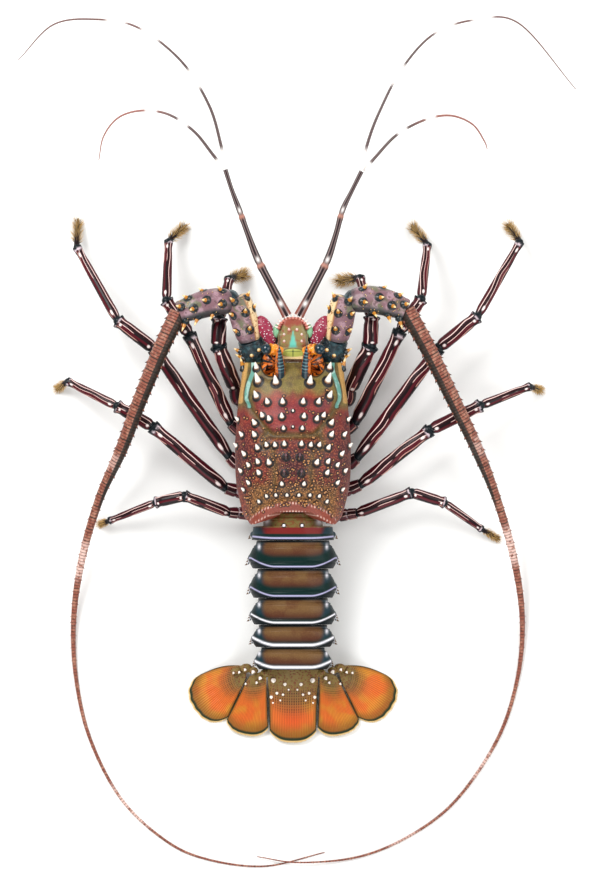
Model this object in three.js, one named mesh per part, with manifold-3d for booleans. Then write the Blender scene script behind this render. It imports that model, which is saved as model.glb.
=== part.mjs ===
// A spiny lobster at life size, lying flat as on a museum board: head towards +Y, floor at z = 0.
// Millimetres, +Z up. Every shape is worked out about the animal's midline (x = 0), and the
// finished group is then moved so that its origin is the bottom centre of its whole box.
import * as THREE from 'three';
import Module from 'manifold-3d';

const wasm = await Module();
wasm.setup();

// Driving sizes of the animal, from an adult about 250 mm long without its feelers
const gap = 0.4; // clear space between neighbouring pieces
const shellFront = 48; // front edge of the carapace along Y
const shellRear = -41; // rear edge of the carapace at the midline
const shellEdge = 20; // height of the carapace's lower edge
const shellWidest = 38; // height at which the carapace is widest
const sternumLow = 10; // height of the belly plate's underside
const eyeRadius = 3.3;
const eyeHeight = 54.5;
const plateHeight = 46; // height of the small plate between the feelers' bases
const thinEdge = 1.2; // thickness of the tail fan at its rim
const spineSides = 5;
const lockSides = 4;

// Carapace profile at stations along Y: half width and height of the top
const shellProfile = [
  [48, 29.2, 49], [44, 30.2, 52.5], [36, 31, 56.5], [26, 32.4, 60], [16, 33.4, 62], [8, 34, 63],
  [4.5, 34.2, 61.6], [1, 34.5, 63.4], [-8, 34.6, 64.6], [-18, 34.3, 64.6], [-26, 33.6, 62.6],
  [-32, 32.3, 59.6], [-36, 30.6, 56], [-38.5, 29.4, 55.6], [-41, 28.4, 54],
];

// Abdomen: where each ring of shell ends along Y, its half width and the height of its top
const ringEnds = [-41.6, -58, -75, -92.5, -108.5, -122, -135.4];
const ringHalfWidth = [22.6, 25.4, 24.8, 24.4, 24, 22.6];
const ringTop = [48.5, 47, 44, 40, 35.5, 31];
const ringEdge = [15, 13.5, 12.5, 12, 11.5, 11];
const flapReach = [2, 3.4, 3, 3, 2.6, 2.4]; // how far the side flaps reach out
const lastHalfWidth = 20.5; // at the rear edge of the last ring
const lastTop = 27.5;
const neckHalfWidth = 17.6; // of the first ring, between the carapace's rear corners
const neckEnd = -49.6;

const colours = {
  shell: [0x8a5a3c, 0.42], belly: [0xc9a98c, 0.55], plate: [0x8f8a52, 0.45], eye: [0x12303a, 0.12],
  stalk: [0xf08c1e, 0.4], base: [0x20323a, 0.4], peduncle: [0x8e6a6e, 0.45], feeler: [0x9a5a44, 0.5],
  antennule: [0x4a3438, 0.45], leg: [0x5a2430, 0.38], ring: [0x6d4f38, 0.4], fan: [0xdc7c3a, 0.45],
};

const mix = (a, b, t) => a + (b - a) * t;
const vector = (p) => new THREE.Vector3(p[0], p[1], p[2]);
const mirror = (p, side) => [p[0] * side, p[1], p[2], ...p.slice(3)];

// Reads a table of [position, value, value...] rows at any position between its ends
function lookUp(table, position) {
  const falling = table[0][0] > table[table.length - 1][0];
  const ordered = falling ? [...table].reverse() : table;
  const last = ordered[ordered.length - 1];
  if (position <= ordered[0][0]) return ordered[0].slice(1);
  if (position >= last[0]) return last.slice(1);
  const i = ordered.findIndex((row) => row[0] > position);
  const [low, high] = [ordered[i - 1], ordered[i]];
  const t = (position - low[0]) / (high[0] - low[0]);
  return low.slice(1).map((value, k) => mix(value, high[k + 1], t));
}

// A closed solid from points and triangles, turned the right way out
function solid(points, triangles) {
  let volume = 0;
  for (let i = 0; i < triangles.length; i += 3) {
    const [a, b, c] = [points[triangles[i]], points[triangles[i + 1]], points[triangles[i + 2]]];
    volume += a.dot(b.clone().cross(c));
  }
  const outward = volume > 0 ? triangles : [...triangles].reverse();
  const vertProperties = new Float32Array(points.flatMap((p) => [p.x, p.y, p.z]));
  return new wasm.Manifold(new wasm.Mesh({
    numProp: 3, vertProperties, triVerts: new Uint32Array(outward),
  }));
}

// Joins rings of equally many points, one after another, and closes both ends with a fan, whose
// middle is the ring's own centre unless a start or an end point is given
function loft(rings, { start = null, end = null } = {}) {
  const count = rings[0].length;
  const points = rings.flat();
  const triangles = [];
  for (let r = 0; r < rings.length - 1; r++) {
    for (let i = 0; i < count; i++) {
      const a = r * count + i;
      const b = r * count + ((i + 1) % count);
      triangles.push(a, b, b + count, a, b + count, a + count);
    }
  }
  const centreOf = (ring) => ring.reduce((sum, p) => sum.addScaledVector(p, 1 / count), new THREE.Vector3());
  const startHub = points.push(start ?? centreOf(rings[0])) - 1;
  const endHub = points.push(end ?? centreOf(rings[rings.length - 1])) - 1;
  const last = (rings.length - 1) * count;
  for (let i = 0; i < count; i++) {
    const next = (i + 1) % count;
    triangles.push(next, i, startHub, last + i, last + next, endHub);
  }
  return solid(points, triangles);
}

// A round tube along a smooth path of [x, y, z, radius] points, flattened where it meets the floor
function tube(path, { sides = 8, perSpan = 2, from = 0, to = 1, floor = 0, trim = 0 } = {}) {
  const curve = new THREE.CatmullRomCurve3(path.map(vector), false, 'centripetal');
  const spans = path.length - 1;
  const steps = Math.max(1, Math.round(spans * perSpan * (to - from)));
  const rings = [];
  let across = null;
  for (let i = 0; i <= steps; i++) {
    const t = mix(from, to, i / steps);
    const centre = curve.getPoint(t);
    const along = curve.getTangent(t).normalize();
    if (i === 0) centre.addScaledVector(along, trim);
    if (i === steps) centre.addScaledVector(along, -trim);
    const span = Math.min(spans - 1, Math.floor(t * spans));
    const radius = mix(path[span][3], path[span + 1][3], t * spans - span);
    across = across ?? new THREE.Vector3(0, 0, 1).cross(along);
    across.addScaledVector(along, -across.dot(along)).normalize();
    const up = along.clone().cross(across);
    rings.push(Array.from({ length: sides }, (_, k) => {
      const angle = (2 * Math.PI * (k + 0.5)) / sides;
      const point = centre.clone().addScaledVector(across, radius * Math.cos(angle));
      point.addScaledVector(up, radius * Math.sin(angle));
      point.z = Math.max(point.z, floor);
      return point;
    }));
  }
  return loft(rings);
}

// A ball stretched along the axes
function ball(centre, radii, across = 10, up = 7) {
  const rings = Array.from({ length: up - 1 }, (_, i) => {
    const tilt = (Math.PI * (i + 1)) / up;
    return Array.from({ length: across }, (_, k) => {
      const turn = (2 * Math.PI * k) / across;
      return new THREE.Vector3(
        centre[0] + radii[0] * Math.sin(tilt) * Math.cos(turn),
        centre[1] + radii[1] * Math.sin(tilt) * Math.sin(turn),
        centre[2] - radii[2] * Math.cos(tilt),
      );
    });
  });
  return loft(rings);
}

// A ring of points about a centre, square to a direction
function hoop(centre, along, radius, count) {
  const level = Math.abs(along.z) < 0.9 ? new THREE.Vector3(0, 0, 1) : new THREE.Vector3(0, 1, 0);
  const across = level.cross(along).normalize();
  const up = along.clone().cross(across);
  return Array.from({ length: count }, (_, k) => {
    const angle = (2 * Math.PI * k) / count;
    const point = centre.clone().addScaledVector(across, radius * Math.cos(angle));
    return point.addScaledVector(up, radius * Math.sin(angle));
  });
}

// A sharp spine from its foot along a direction, its root sunk below the surface
function spine(foot, direction, length, radius) {
  const along = direction.clone().normalize();
  const root = foot.clone().addScaledVector(along, -radius * 0.9);
  const tip = foot.clone().addScaledVector(along, length);
  return loft([hoop(root, along, radius, spineSides)], { end: tip });
}

// A tapered lock of stiff bristles, widest at its middle, bent from its root out to its tip
function lock(root, tip, width, bend) {
  const along = tip.clone().sub(root).normalize();
  const middle = root.clone().lerp(tip, 0.5).add(bend);
  return loft([hoop(root, along, width * 0.8, lockSides), hoop(middle, along, width, lockSides)], { end: tip });
}

// A plate between an upper and a lower face, both split into the same triangles
function sheet(top, thickness, alongCount, acrossCount) {
  const points = [];
  const triangles = [];
  const columns = acrossCount + 1;
  const size = (alongCount + 1) * columns;
  for (const lower of [0, 1]) {
    for (let i = 0; i <= alongCount; i++) {
      for (let j = 0; j <= acrossCount; j++) {
        const [u, v] = [i / alongCount, (2 * j) / acrossCount - 1];
        const point = top(u, v);
        points.push(lower ? point.clone().setZ(Math.max(0, point.z - thickness(u, v))) : point);
      }
    }
  }
  const quad = (a, b, c, d) => triangles.push(a, b, c, a, c, d);
  for (let i = 0; i < alongCount; i++) {
    for (let j = 0; j < acrossCount; j++) {
      const a = i * columns + j;
      quad(a, a + 1, a + columns + 1, a + columns);
      triangles.push(size + a, size + a + columns + 1, size + a + 1);
      triangles.push(size + a, size + a + columns, size + a + columns + 1);
    }
  }
  for (let j = 0; j < acrossCount; j++) {
    const end = alongCount * columns + j;
    quad(j, size + j, size + j + 1, j + 1);
    quad(end, end + 1, size + end + 1, size + end);
  }
  for (let i = 0; i < alongCount; i++) {
    const [a, b] = [i * columns, (i + 1) * columns];
    const [c, d] = [a + acrossCount, b + acrossCount];
    quad(a, b, size + b, size + a);
    quad(c, size + c, size + d, d);
  }
  return solid(points, triangles);
}

// Removes what lies beyond a plane through a point, within reach of it
function cut(piece, point, direction, reach = 40) {
  const along = direction.clone().normalize();
  const side = (Math.abs(along.z) < 0.9 ? new THREE.Vector3(0, 0, 1) : new THREE.Vector3(0, 1, 0));
  const across = side.cross(along).normalize();
  const up = along.clone().cross(across);
  const face = (depth) => [[-1, -1], [1, -1], [1, 1], [-1, 1]].map(([a, b]) => point.clone()
    .addScaledVector(across, a * reach).addScaledVector(up, b * reach).addScaledVector(along, depth));
  return piece.subtract(loft([face(0), face(reach)]));
}

// Joins pieces into one solid and keeps its largest closed surface
function fuse(pieces) {
  const joined = pieces.reduce((whole, piece) => whole.add(piece));
  return joined.decompose().reduce((best, piece) => (piece.volume() > best.volume() ? piece : best));
}

const model = new THREE.Group();

function addNode(name, pieces, [colour, roughness]) {
  const mesh = fuse(pieces).getMesh();
  const geometry = new THREE.BufferGeometry();
  geometry.setAttribute('position', new THREE.BufferAttribute(mesh.vertProperties, 3));
  geometry.setIndex(new THREE.BufferAttribute(mesh.triVerts, 1));
  geometry.computeVertexNormals();
  const material = new THREE.MeshStandardMaterial({ color: colour, roughness, metalness: 0 });
  const node = new THREE.Mesh(geometry, material);
  node.name = name;
  model.add(node);
}

// Both sides of the animal: left is -X as seen from above with the head up
const bothSides = [['left', -1], ['right', 1]];

// The carapace's surface: turn runs from -1 at the left lower edge over the top to 1 at the right
const shellTuck = 2.15; // how far round the section runs, in radians from the top
const rearLobe = 7.4; // how far the rear corners reach behind the middle of the rear edge

function shellPoint(turn, y) {
  const [halfWidth, top] = lookUp(shellProfile, y);
  const angle = turn * shellTuck;
  const x = halfWidth * Math.sin(angle);
  const down = (shellWidest - shellEdge) / -Math.cos(shellTuck);
  const z = shellWidest + Math.cos(angle) * (Math.cos(angle) > 0 ? top - shellWidest : down);
  const rear = THREE.MathUtils.smoothstep(-y, 30, -shellRear);
  const lobe = THREE.MathUtils.smoothstep(Math.abs(x), 9, 24);
  return new THREE.Vector3(x, y - rear * lobe * rearLobe, z);
}

// The place on the carapace above a point of the plan, and the direction straight out of it
function shellSpot(x, y) {
  const halfWidth = lookUp(shellProfile, y)[0];
  const turn = Math.asin(THREE.MathUtils.clamp(x / halfWidth, -1, 1)) / shellTuck;
  const foot = shellPoint(turn, y);
  const step = 0.01; // small enough to give the slope
  const across = shellPoint(turn + step, y).sub(foot);
  const along = shellPoint(turn, y + step).sub(foot);
  return { foot, out: across.cross(along).normalize() };
}

function carapaceBody() {
  const archCount = 20;
  const rings = shellProfile.map(([y]) => {
    const arch = Array.from({ length: archCount + 1 }, (_, i) => shellPoint((2 * i) / archCount - 1, y));
    const right = arch[archCount];
    const inner = [[0.9, 0], [0.8, 3.4], [0, 3.4], [-0.8, 3.4], [-0.9, 0]].map(([share, rise]) => (
      new THREE.Vector3(right.x * share, mix(y, right.y, Math.abs(share)), shellEdge + rise)));
    return [...arch, ...inner];
  });
  return loft(rings, { end: new THREE.Vector3(0, shellRear, shellWidest) });
}

// Spines of the carapace, one side: distance from the midline, place along Y, length, foot radius
const shellSpines = [
  [21.5, 44.5, 5.5, 1.8], [10, 36, 7, 2.2], [20.5, 36.5, 8.5, 2.2], [21.5, 27.5, 6, 1.9], [15, 24, 5, 1.7],
  [6, 24, 5, 1.7], [6.5, 15.5, 4.5, 1.6], [14, 14, 4.5, 1.6], [18, 16, 4.5, 1.6], [5.5, 8.5, 3.5, 1.3],
  [5, -1, 4.5, 1.5], [10.5, -1.5, 4, 1.5], [15.5, -1.5, 4, 1.5], [22.5, 11.5, 5, 1.7],
  [22.5, 4.5, 5, 1.7], [20.8, -3.2, 4.5, 1.6], [32.3, 13.5, 4, 1.5], [30, 4.5, 4.5, 1.6],
  [33.2, -2, 4, 1.5], [4, -8.5, 4.5, 1.6], [14, -12, 5, 1.7], [20.5, -11.5, 4.5, 1.6],
  [28.5, -7, 4.5, 1.6], [5, -18, 4.5, 1.6], [20, -18, 4.5, 1.6], [30.5, -17, 4, 1.5],
  [26, -13.5, 4, 1.5], [6.5, -24.5, 4, 1.4], [26, -24, 4, 1.4], [29, -28, 3.5, 1.3],
  [3.5, -31, 3.2, 1.2], [10, -31, 3.2, 1.2], [15.5, -31.5, 3.2, 1.2], [20, -33.5, 3.2, 1.2],
];
const middleSpines = [[0, 19, 2, 0.9], [0, 9.5, 1.8, 0.8]];
const spineLean = 1.1; // how strongly the carapace's spines lean forward

function shellSpineSet() {
  const both = shellSpines.flatMap(([x, y, ...size]) => [[x, y, ...size], [-x, y, ...size]]);
  return [...both, ...middleSpines].map(([x, y, length, radius]) => {
    const { foot, out } = shellSpot(x, y);
    return spine(foot, out.add(new THREE.Vector3(0, spineLean, 0)), length, radius);
  });
}

// Two horns stand in front, with a hollow in the shell's edge beside each for the eye
const eyeHollow = { centre: [13.6, 50.5, 54], radii: [5.2, 9.5, 8] };

function horn(side) {
  const path = [[-7.5, 37, 52, 3], [-7.8, 46, 55.5, 2.6], [-8.2, 53, 59.5, 1.5], [-8.3, 58, 63, 0.25]];
  return tube(path.map((p) => mirror(p, -side)), { sides: 7 });
}

function cornerSpine(side) {
  return spine(new THREE.Vector3(29.6 * side, 44.5, 39.5), new THREE.Vector3(0.25 * side, 1, 0.15), 7, 2);
}

function makeCarapace() {
  let body = carapaceBody();
  for (const [, side] of bothSides) {
    body = body.subtract(ball(mirror(eyeHollow.centre, side), eyeHollow.radii, 10, 6));
  }
  const grown = [...shellSpineSet(), horn(-1), horn(1), cornerSpine(-1), cornerSpine(1)];
  addNode('carapace', [body, ...grown], colours.shell);
}

// The belly plate is a wedge, wide at the rear, and the legs stand along its sides
const sternumFront = 36;
const sternumRear = -46;
const sternumHalf = (y) => THREE.MathUtils.mapLinear(y, sternumFront, sternumRear, 9, 19);

function makeSternum() {
  const tailStep = shellRear - 0.1; // behind this the plate is thin and lies under the abdomen
  const rings = [sternumFront, 20, 0, -20, tailStep, tailStep - 0.1, sternumRear].map((y) => {
    const half = sternumHalf(y);
    const rise = y < tailStep ? 0.4 : 7; // height of the side wall
    const section = [[-half, 14], [-half * 0.7, sternumLow], [0, sternumLow + 1.2], [half * 0.7, sternumLow],
      [half, 14], [half, 14 + rise], [half * 0.6, 14.2 + rise * 1.2], [-half * 0.6, 14.2 + rise * 1.2],
      [-half, 14 + rise]];
    return section.map(([x, z]) => new THREE.Vector3(x, y, z));
  });
  addNode('sternum', [loft(rings)], colours.belly);
}

function makeFace() {
  const wide = [[48.6, 12, 20, 44], [56, 11, 20, 42], [64, 8, 22, 40]].map(([y, half, low, high]) => (
    [[-half, low], [half, low], [half, high], [-half, high]].map(([x, z]) => new THREE.Vector3(x, y, z))));
  addNode('epistome', [loft(wide)], colours.belly);

  // The small plate between the feelers' bases, with a rim of spinules
  const plate = [[50, 7.5], [56.5, 9], [65, 9.3], [71, 6.8], [75, 5]].map(([y, half]) => {
    const low = y < 65 ? 44.4 : 41;
    return [[-half, low], [half, low], [half, plateHeight], [half * 0.5, plateHeight + 1.6],
      [-half * 0.5, plateHeight + 1.6], [-half, plateHeight]].map(([x, z]) => new THREE.Vector3(x, y, z));
  });
  const spinules = [[2.4, 67.5], [5.2, 64.5], [5.2, 60.5]].flatMap(([x, y]) => [-x, x].map((place) => (
    spine(new THREE.Vector3(place, y, plateHeight + 1.2), new THREE.Vector3(0, 1, 1), 2.6, 1))));
  addNode('antennular_plate', [loft(plate), ...spinules], colours.plate);
}

function makeEyes(name, side) {
  const stalk = [[6.4, 54.8, 51.4, 2.2], [9.6, 55.4, 52.8, 2.9], [14, 56, eyeHeight, 3.1]];
  const seat = [16, 56, eyeHeight];
  const inward = new THREE.Vector3(side, 0, 0);
  const cornea = ball(mirror(seat, side), [eyeRadius, eyeRadius, eyeRadius], 10, 7);
  const stalkPiece = tube(stalk.map((p) => mirror(p, side)), { sides: 8 });
  const [stem, bulb] = part(stalkPiece, cornea, vector(mirror([13.4, 56, eyeHeight], side)), inward);
  addNode(`eye_stalk_${name}`, [stem], colours.stalk);
  addNode(`eye_${name}`, [bulb], colours.eye);
}

// Antennae: base, two stout spiny lengths and the long whip. Points are [x, y, z, radius].
const antennaPaths = {
  left: {
    base: [[-20.6, 47, 32, 7.8], [-22.8, 55, 35, 8.4], [-25.5, 62, 38, 8]],
    inner: [[-25.6, 61, 38, 7.6], [-28, 70, 41, 8.2], [-31, 80, 44, 8.2], [-33, 88, 45, 7.2]],
    outer: [[-36, 84, 45, 7.2], [-46, 84.2, 46, 8.2], [-57, 81.5, 47, 8], [-68, 77.6, 48, 6.4]],
    whip: [[-68, 78, 48, 5.2], [-78.5, 56, 49, 4.8], [-91, 26, 42, 4.3], [-102.5, -4, 32, 3.7],
      [-116, -34, 22, 2.6], [-126.5, -70, 11, 2.2], [-131.5, -106, 3.6, 1.6], [-130, -142, 1, 1.25],
      [-121.5, -178, 0.8, 1.05], [-103, -213.5, 0.65, 0.85], [-77, -238, 0.6, 0.75],
      [-52, -249.5, 0.5, 0.65], [-17, -254.5, 0.45, 0.55], [19, -245.5, 0.4, 0.35]],
  },
  right: {
    base: [[20.6, 47, 32, 7.8], [22.8, 55, 35, 8.4], [25.5, 62, 38, 8]],
    inner: [[25.6, 61, 38, 7.6], [27.5, 70, 41, 8.2], [29.5, 80, 44, 8.2], [31, 88, 45, 7.2]],
    outer: [[34.6, 85, 45, 7.2], [46, 85.6, 46, 8.2], [57, 83.2, 47, 8], [67.5, 79, 48, 6.4]],
    whip: [[67.5, 79.4, 48, 5.2], [80.5, 56, 49, 4.8], [95.5, 26, 42, 4.3], [110, -4, 32, 3.7],
      [122, -34, 22, 2.6], [132.5, -70, 11, 2.2], [137.5, -106, 3.6, 1.6], [134.5, -142, 1, 1.25],
      [122.5, -178, 0.8, 1.05], [98, -214, 0.65, 0.85], [71, -235, 0.6, 0.75],
      [40, -248, 0.9, 0.65], [4, -251.5, 2.6, 0.55], [-21.5, -248, 1.6, 0.35]],
  },
};
const whipParts = [0, 3 / 13, 6 / 13, 1]; // where the whip's three lengths part

// Spines on a stout length of antenna: share of its length, turn round it from the top, size
const innerSpines = [[0.3, 0.2, 5], [0.3, -0.9, 4.5], [0.62, 0.25, 5.5], [0.62, -0.8, 4.5], [0.62, 1.25, 4],
  [0.93, -0.35, 6], [0.93, 0.9, 5], [0.9, -1.5, 5]];
const spineFootRadius = 7.2; // how far from the length's middle line the spines' feet are
const outerSpines = [[0.22, -0.2, 5], [0.22, 1, 5], [0.42, -1.1, 5.5], [0.5, 0.25, 5], [0.5, 1.4, 4],
  [0.72, -1.15, 6], [0.75, -0.1, 5], [0.78, 1, 4.5], [0.95, -1.2, 6.5], [0.95, 0.4, 4.5]];

// A granular pad on the inner side of the first stout length, which rubs on the small plate
const padPath = [[12.2, 59.6, 42.6, 1.8], [14, 63, 42.8, 4], [17.5, 71, 42.8, 4.1], [19.8, 75.6, 42.6, 1.8]];

// Turns run from the top towards the left of the path on the left side, and mirrored on the right
function limbSpines(path, list, side) {
  const curve = new THREE.CatmullRomCurve3(path.map(vector), false, 'centripetal');
  return list.map(([share, turn, length]) => {
    const centre = curve.getPoint(share);
    const along = curve.getTangent(share).normalize();
    const across = new THREE.Vector3(0, 0, 1).cross(along).normalize();
    const up = along.clone().cross(across);
    const out = up.multiplyScalar(Math.cos(turn)).addScaledVector(across, side * Math.sin(turn));
    const foot = centre.addScaledVector(out, spineFootRadius);
    return spine(foot, out.clone().addScaledVector(along, 0.8), length, 1.9);
  });
}

// Trims two limbs in a row to a plane at the joint between them, so that they meet face to face
function part(first, second, point, direction, reach = 14) {
  const back = direction.clone().negate();
  const ahead = point.clone().addScaledVector(direction, gap / 2);
  const behind = point.clone().addScaledVector(direction, -gap / 2);
  return [cut(first, behind, direction, reach), cut(second, ahead, back, reach)];
}

function makeAntenna(name, side) {
  const { base, inner, outer, whip } = antennaPaths[name];
  const pieces = [base, inner, outer].map((path) => tube(path, { sides: 9, perSpan: 1 }));
  const mouth = new THREE.Vector3(0, shellFront + gap, 0);
  pieces[0] = cut(pieces[0], mouth, new THREE.Vector3(0, -1, 0), 60);
  const bend = new THREE.Vector3(side * 0.15, 0.9, 0.3).normalize();
  const elbow = new THREE.Vector3(side * 0.82, 0.57, 0).normalize();
  const elbowPoint = vector(mirror([36.6, 83.6, 45], side));
  pieces[0] = fuse([pieces[0], spine(vector(mirror([19, 60, 43], side)), bend, 4, 1.8)]);
  const pad = tube(padPath.map((p) => mirror(p, side)), { perSpan: 1 });
  pieces[1] = fuse([pieces[1], pad, ...limbSpines(inner, innerSpines, -side)]);
  pieces[2] = fuse([pieces[2], ...limbSpines(outer, outerSpines, -side)]);
  [pieces[0], pieces[1]] = part(pieces[0], pieces[1], vector(base[2]), bend);
  [pieces[1], pieces[2]] = part(pieces[1], pieces[2], elbowPoint, elbow);
  const along = vector(whip[1]).sub(vector(whip[0])).normalize();
  const out = vector(outer[3]).sub(vector(outer[2])).normalize();
  const turned = along.add(out).normalize();
  const parts = [1, 2, 3].map((k) => tube(whip, {
    sides: k === 3 ? 6 : 8, perSpan: 3, from: whipParts[k - 1], to: whipParts[k], trim: gap / 2,
  }));
  [pieces[2], parts[0]] = part(pieces[2], parts[0], vector(whip[0]).addScaledVector(turned, 1), turned);
  addNode(`antenna_${name}_base`, [pieces[0]], colours.base);
  addNode(`antenna_${name}_inner`, [pieces[1]], colours.peduncle);
  addNode(`antenna_${name}_outer`, [pieces[2]], colours.peduncle);
  parts.forEach((piece, k) => addNode(`antenna_${name}_whip_${k + 1}`, [piece], colours.feeler));
}

// Antennules: a jointed stem and two thin whips that arch up and droop at their tips
const antennulePaths = {
  left: {
    stem: [[-3.6, 76.5, 45, 3], [-12, 92, 48, 2.4], [-21, 109.5, 50, 2.2], [-27, 125, 52, 1.7],
      [-32, 139, 54, 1.7], [-36.5, 151, 55, 1.3], [-40, 162, 56, 1.5]],
    lower: [[-42, 163.5, 55, 1], [-48, 172, 55, 0.95], [-59, 185.5, 54, 0.85], [-74, 195.5, 51, 0.75],
      [-90, 198, 46, 0.65], [-104, 194, 40, 0.55], [-113, 183, 33, 0.45], [-116, 169, 26, 0.3]],
    upper: [[-40.5, 164, 57.4, 1], [-43, 178, 59, 0.95], [-50, 201, 61, 0.85], [-66.5, 227, 60, 0.75],
      [-92, 247, 54, 0.65], [-117, 254, 46, 0.6], [-143, 249.5, 36, 0.5], [-164, 229, 25, 0.3]],
  },
  right: {
    stem: [[3.6, 76.5, 45, 3], [12, 92, 48, 2.4], [20.5, 109, 50, 2.2], [25.5, 124, 52, 1.7],
      [29.5, 138.5, 54, 1.7], [35, 150, 55, 1.3], [40.5, 161, 56, 1.5]],
    lower: [[42.8, 162.5, 55, 1], [49, 170, 55, 0.95], [62, 183.5, 54, 0.85], [79, 192.5, 51, 0.75],
      [94, 195, 46, 0.65], [107, 190, 40, 0.55], [114, 180.5, 34, 0.45], [116, 175.5, 31, 0.3]],
    upper: [[41, 163, 57.4, 1], [44, 177, 59, 0.95], [51, 196, 61, 0.85], [64.5, 222, 60, 0.75],
      [83.5, 243, 55, 0.65], [108, 253.5, 47, 0.6], [135, 250, 38, 0.5], [169, 211.5, 24, 0.3]],
  },
};

function makeAntennule(name) {
  const { stem, lower, upper } = antennulePaths[name];
  const end = stem[stem.length - 1];
  const along = vector(end).sub(vector(stem[stem.length - 2])).normalize();
  const stop = vector(end).addScaledVector(along, 0.6);
  addNode(`antennule_${name}_stem`, [tube(stem, { sides: 8, perSpan: 1 })], colours.antennule);
  for (const [place, path] of [['lower', lower], ['upper', upper]]) {
    const whip = cut(tube(path, { sides: 6, perSpan: 2 }), stop, along.clone().negate(), 8);
    addNode(`antennule_${name}_${place}`, [whip], colours.antennule);
  }
}

// Legs: joints along each leg as [x, y, z], and the radius of its thickest length
const legTable = {
  leg_1_left: [4.6, [-30, 25, 14], [-34.5, 33, 16], [-44.5, 58, 33], [-44, 74, 31], [-38, 98.5, 15], [-28, 101.5, 0]],
  leg_2_left: [3.9, [-30, 7, 14], [-37, 12, 16], [-62, 65, 32], [-75.5, 85, 32], [-74.5, 121, 12], [-64, 131, 0]],
  leg_3_left: [3.9, [-31, -13, 14], [-38, -8, 16], [-83, 56.5, 30], [-104.5, 73, 27], [-129.5, 117.5, 12], [-129, 134.5, 0]],
  leg_4_left: [3.8, [-31, -29, 14], [-40, -27, 16], [-84, 10, 29], [-105, 22, 26], [-135, 37, 9], [-142, 32, 0]],
  leg_5_left: [3.3, [-30, -42, 14], [-38, -41.5, 16], [-65, -31.5, 24], [-82, -35.5, 20], [-110, -46.5, 7], [-116.5, -49, 0]],
  leg_1_right: [4.6, [30, 25, 14], [34, 32, 16], [46, 58, 33], [47, 75, 31], [40, 99, 15], [26, 97.5, 0]],
  leg_2_right: [3.9, [30, 8, 14], [37, 12, 16], [64, 67, 32], [76.5, 86, 32], [80.5, 119, 12], [71, 131, 0]],
  leg_3_right: [3.9, [31, -13, 14], [38, -9, 16], [87, 57, 30], [110, 75.5, 27], [136, 120.5, 12], [128.5, 131.5, 0]],
  leg_4_right: [3.8, [31, -28, 14], [40, -25, 16], [82, 8, 29], [112, 22.5, 26], [142, 34, 9], [149, 31.5, 0]],
  leg_5_right: [3.3, [30, -43, 14], [38, -42, 16], [71, -29.5, 24], [90.5, -35.5, 20], [113, -51.5, 7], [124, -58, 0]],
};
const lengthGirth = { hip: 1.15, merus: 1, carpus: 1, propodus: 0.78, dactyl: 0.5 };

// One length of a leg: waisted behind its far end, which flares to the joint
function legLength(start, end, radius, taper, bow = 0) {
  const at = (share, girth, rise) => [
    ...[0, 1, 2].map((k) => mix(start[k], end[k], share) + (k === 2 ? rise : 0)), radius * girth];
  const path = [at(0, 0.8, 0), at(0.14, 1, bow * 0.6), at(0.84, taper * 0.94, bow * 0.6), at(1, taper * 1.1, 0)];
  return tube(path, { sides: 8, perSpan: 1 });
}

// A brush of stiff bristles round the last length of a leg
function brush(ankle, tip, radius, random) {
  const count = 6;
  const along = vector(tip).sub(vector(ankle));
  const across = new THREE.Vector3(0, 0, 1).cross(along).normalize();
  const up = along.clone().normalize().cross(across);
  return Array.from({ length: count }, (_, k) => {
    const turn = (2 * Math.PI * (k + 0.4 * random())) / count;
    const share = 0.28 + 0.36 * ((k * 3) % count) / count;
    const out = across.clone().multiplyScalar(Math.cos(turn)).addScaledVector(up, Math.sin(turn));
    const root = vector(ankle).addScaledVector(along, share).addScaledVector(out, radius * 0.1);
    const far = vector(ankle).addScaledVector(along, share + 0.34).addScaledVector(out, radius * 2.1);
    far.z = Math.max(far.z, 0.8);
    return lock(root, far, 0.9, out.clone().multiplyScalar(0.6));
  });
}

function seeded(seed) {
  let state = seed;
  return () => {
    state = (state * 16807) % 2147483647;
    return state / 2147483647;
  };
}

function makeLeg(name, [radius, hip, ischium, knee, wrist, ankle, tip], index) {
  const side = Math.sign(hip[0]);
  const socket = [side * 10, hip[1] - 2, 15];
  const kneeDirection = vector(knee).sub(vector(ischium)).normalize();
  kneeDirection.add(vector(wrist).sub(vector(knee)).normalize()).normalize();
  const coxa = tube([[...socket, radius * lengthGirth.hip], [...hip, radius * lengthGirth.hip],
    [...ischium, radius * 0.92]], { sides: 8, perSpan: 1 });
  const merus = legLength(ischium, knee, radius, 1, 2);
  const carpus = legLength(knee, wrist, radius * lengthGirth.carpus, 1, 0.5);
  const propodus = legLength(wrist, ankle, radius * lengthGirth.propodus, 0.8, 0.5);
  const foot = [...tip.slice(0, 2), 0.5, 0.9];
  const dactyl = tube([[...ankle, radius * lengthGirth.dactyl], foot], { sides: 6, perSpan: 2 });
  const upper = fuse([coxa, merus]);
  const lower = fuse([carpus, propodus, dactyl, ...brush(ankle, tip, radius * 0.62, seeded(index * 71 + 5))]);
  const [trimmed, rest] = part(upper, lower, vector(knee), kneeDirection, 12);
  const slope = (sternumHalf(sternumRear) - sternumHalf(sternumFront)) / (sternumFront - sternumRear);
  const inward = new THREE.Vector3(-side, -slope, 0).normalize();
  const wall = new THREE.Vector3(side * (sternumHalf(hip[1]) + gap), hip[1], 15);
  addNode(`${name}_upper`, [cut(trimmed, wall, inward, 30)], colours.leg);
  addNode(`${name}_lower`, [rest], colours.leg);
}

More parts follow.
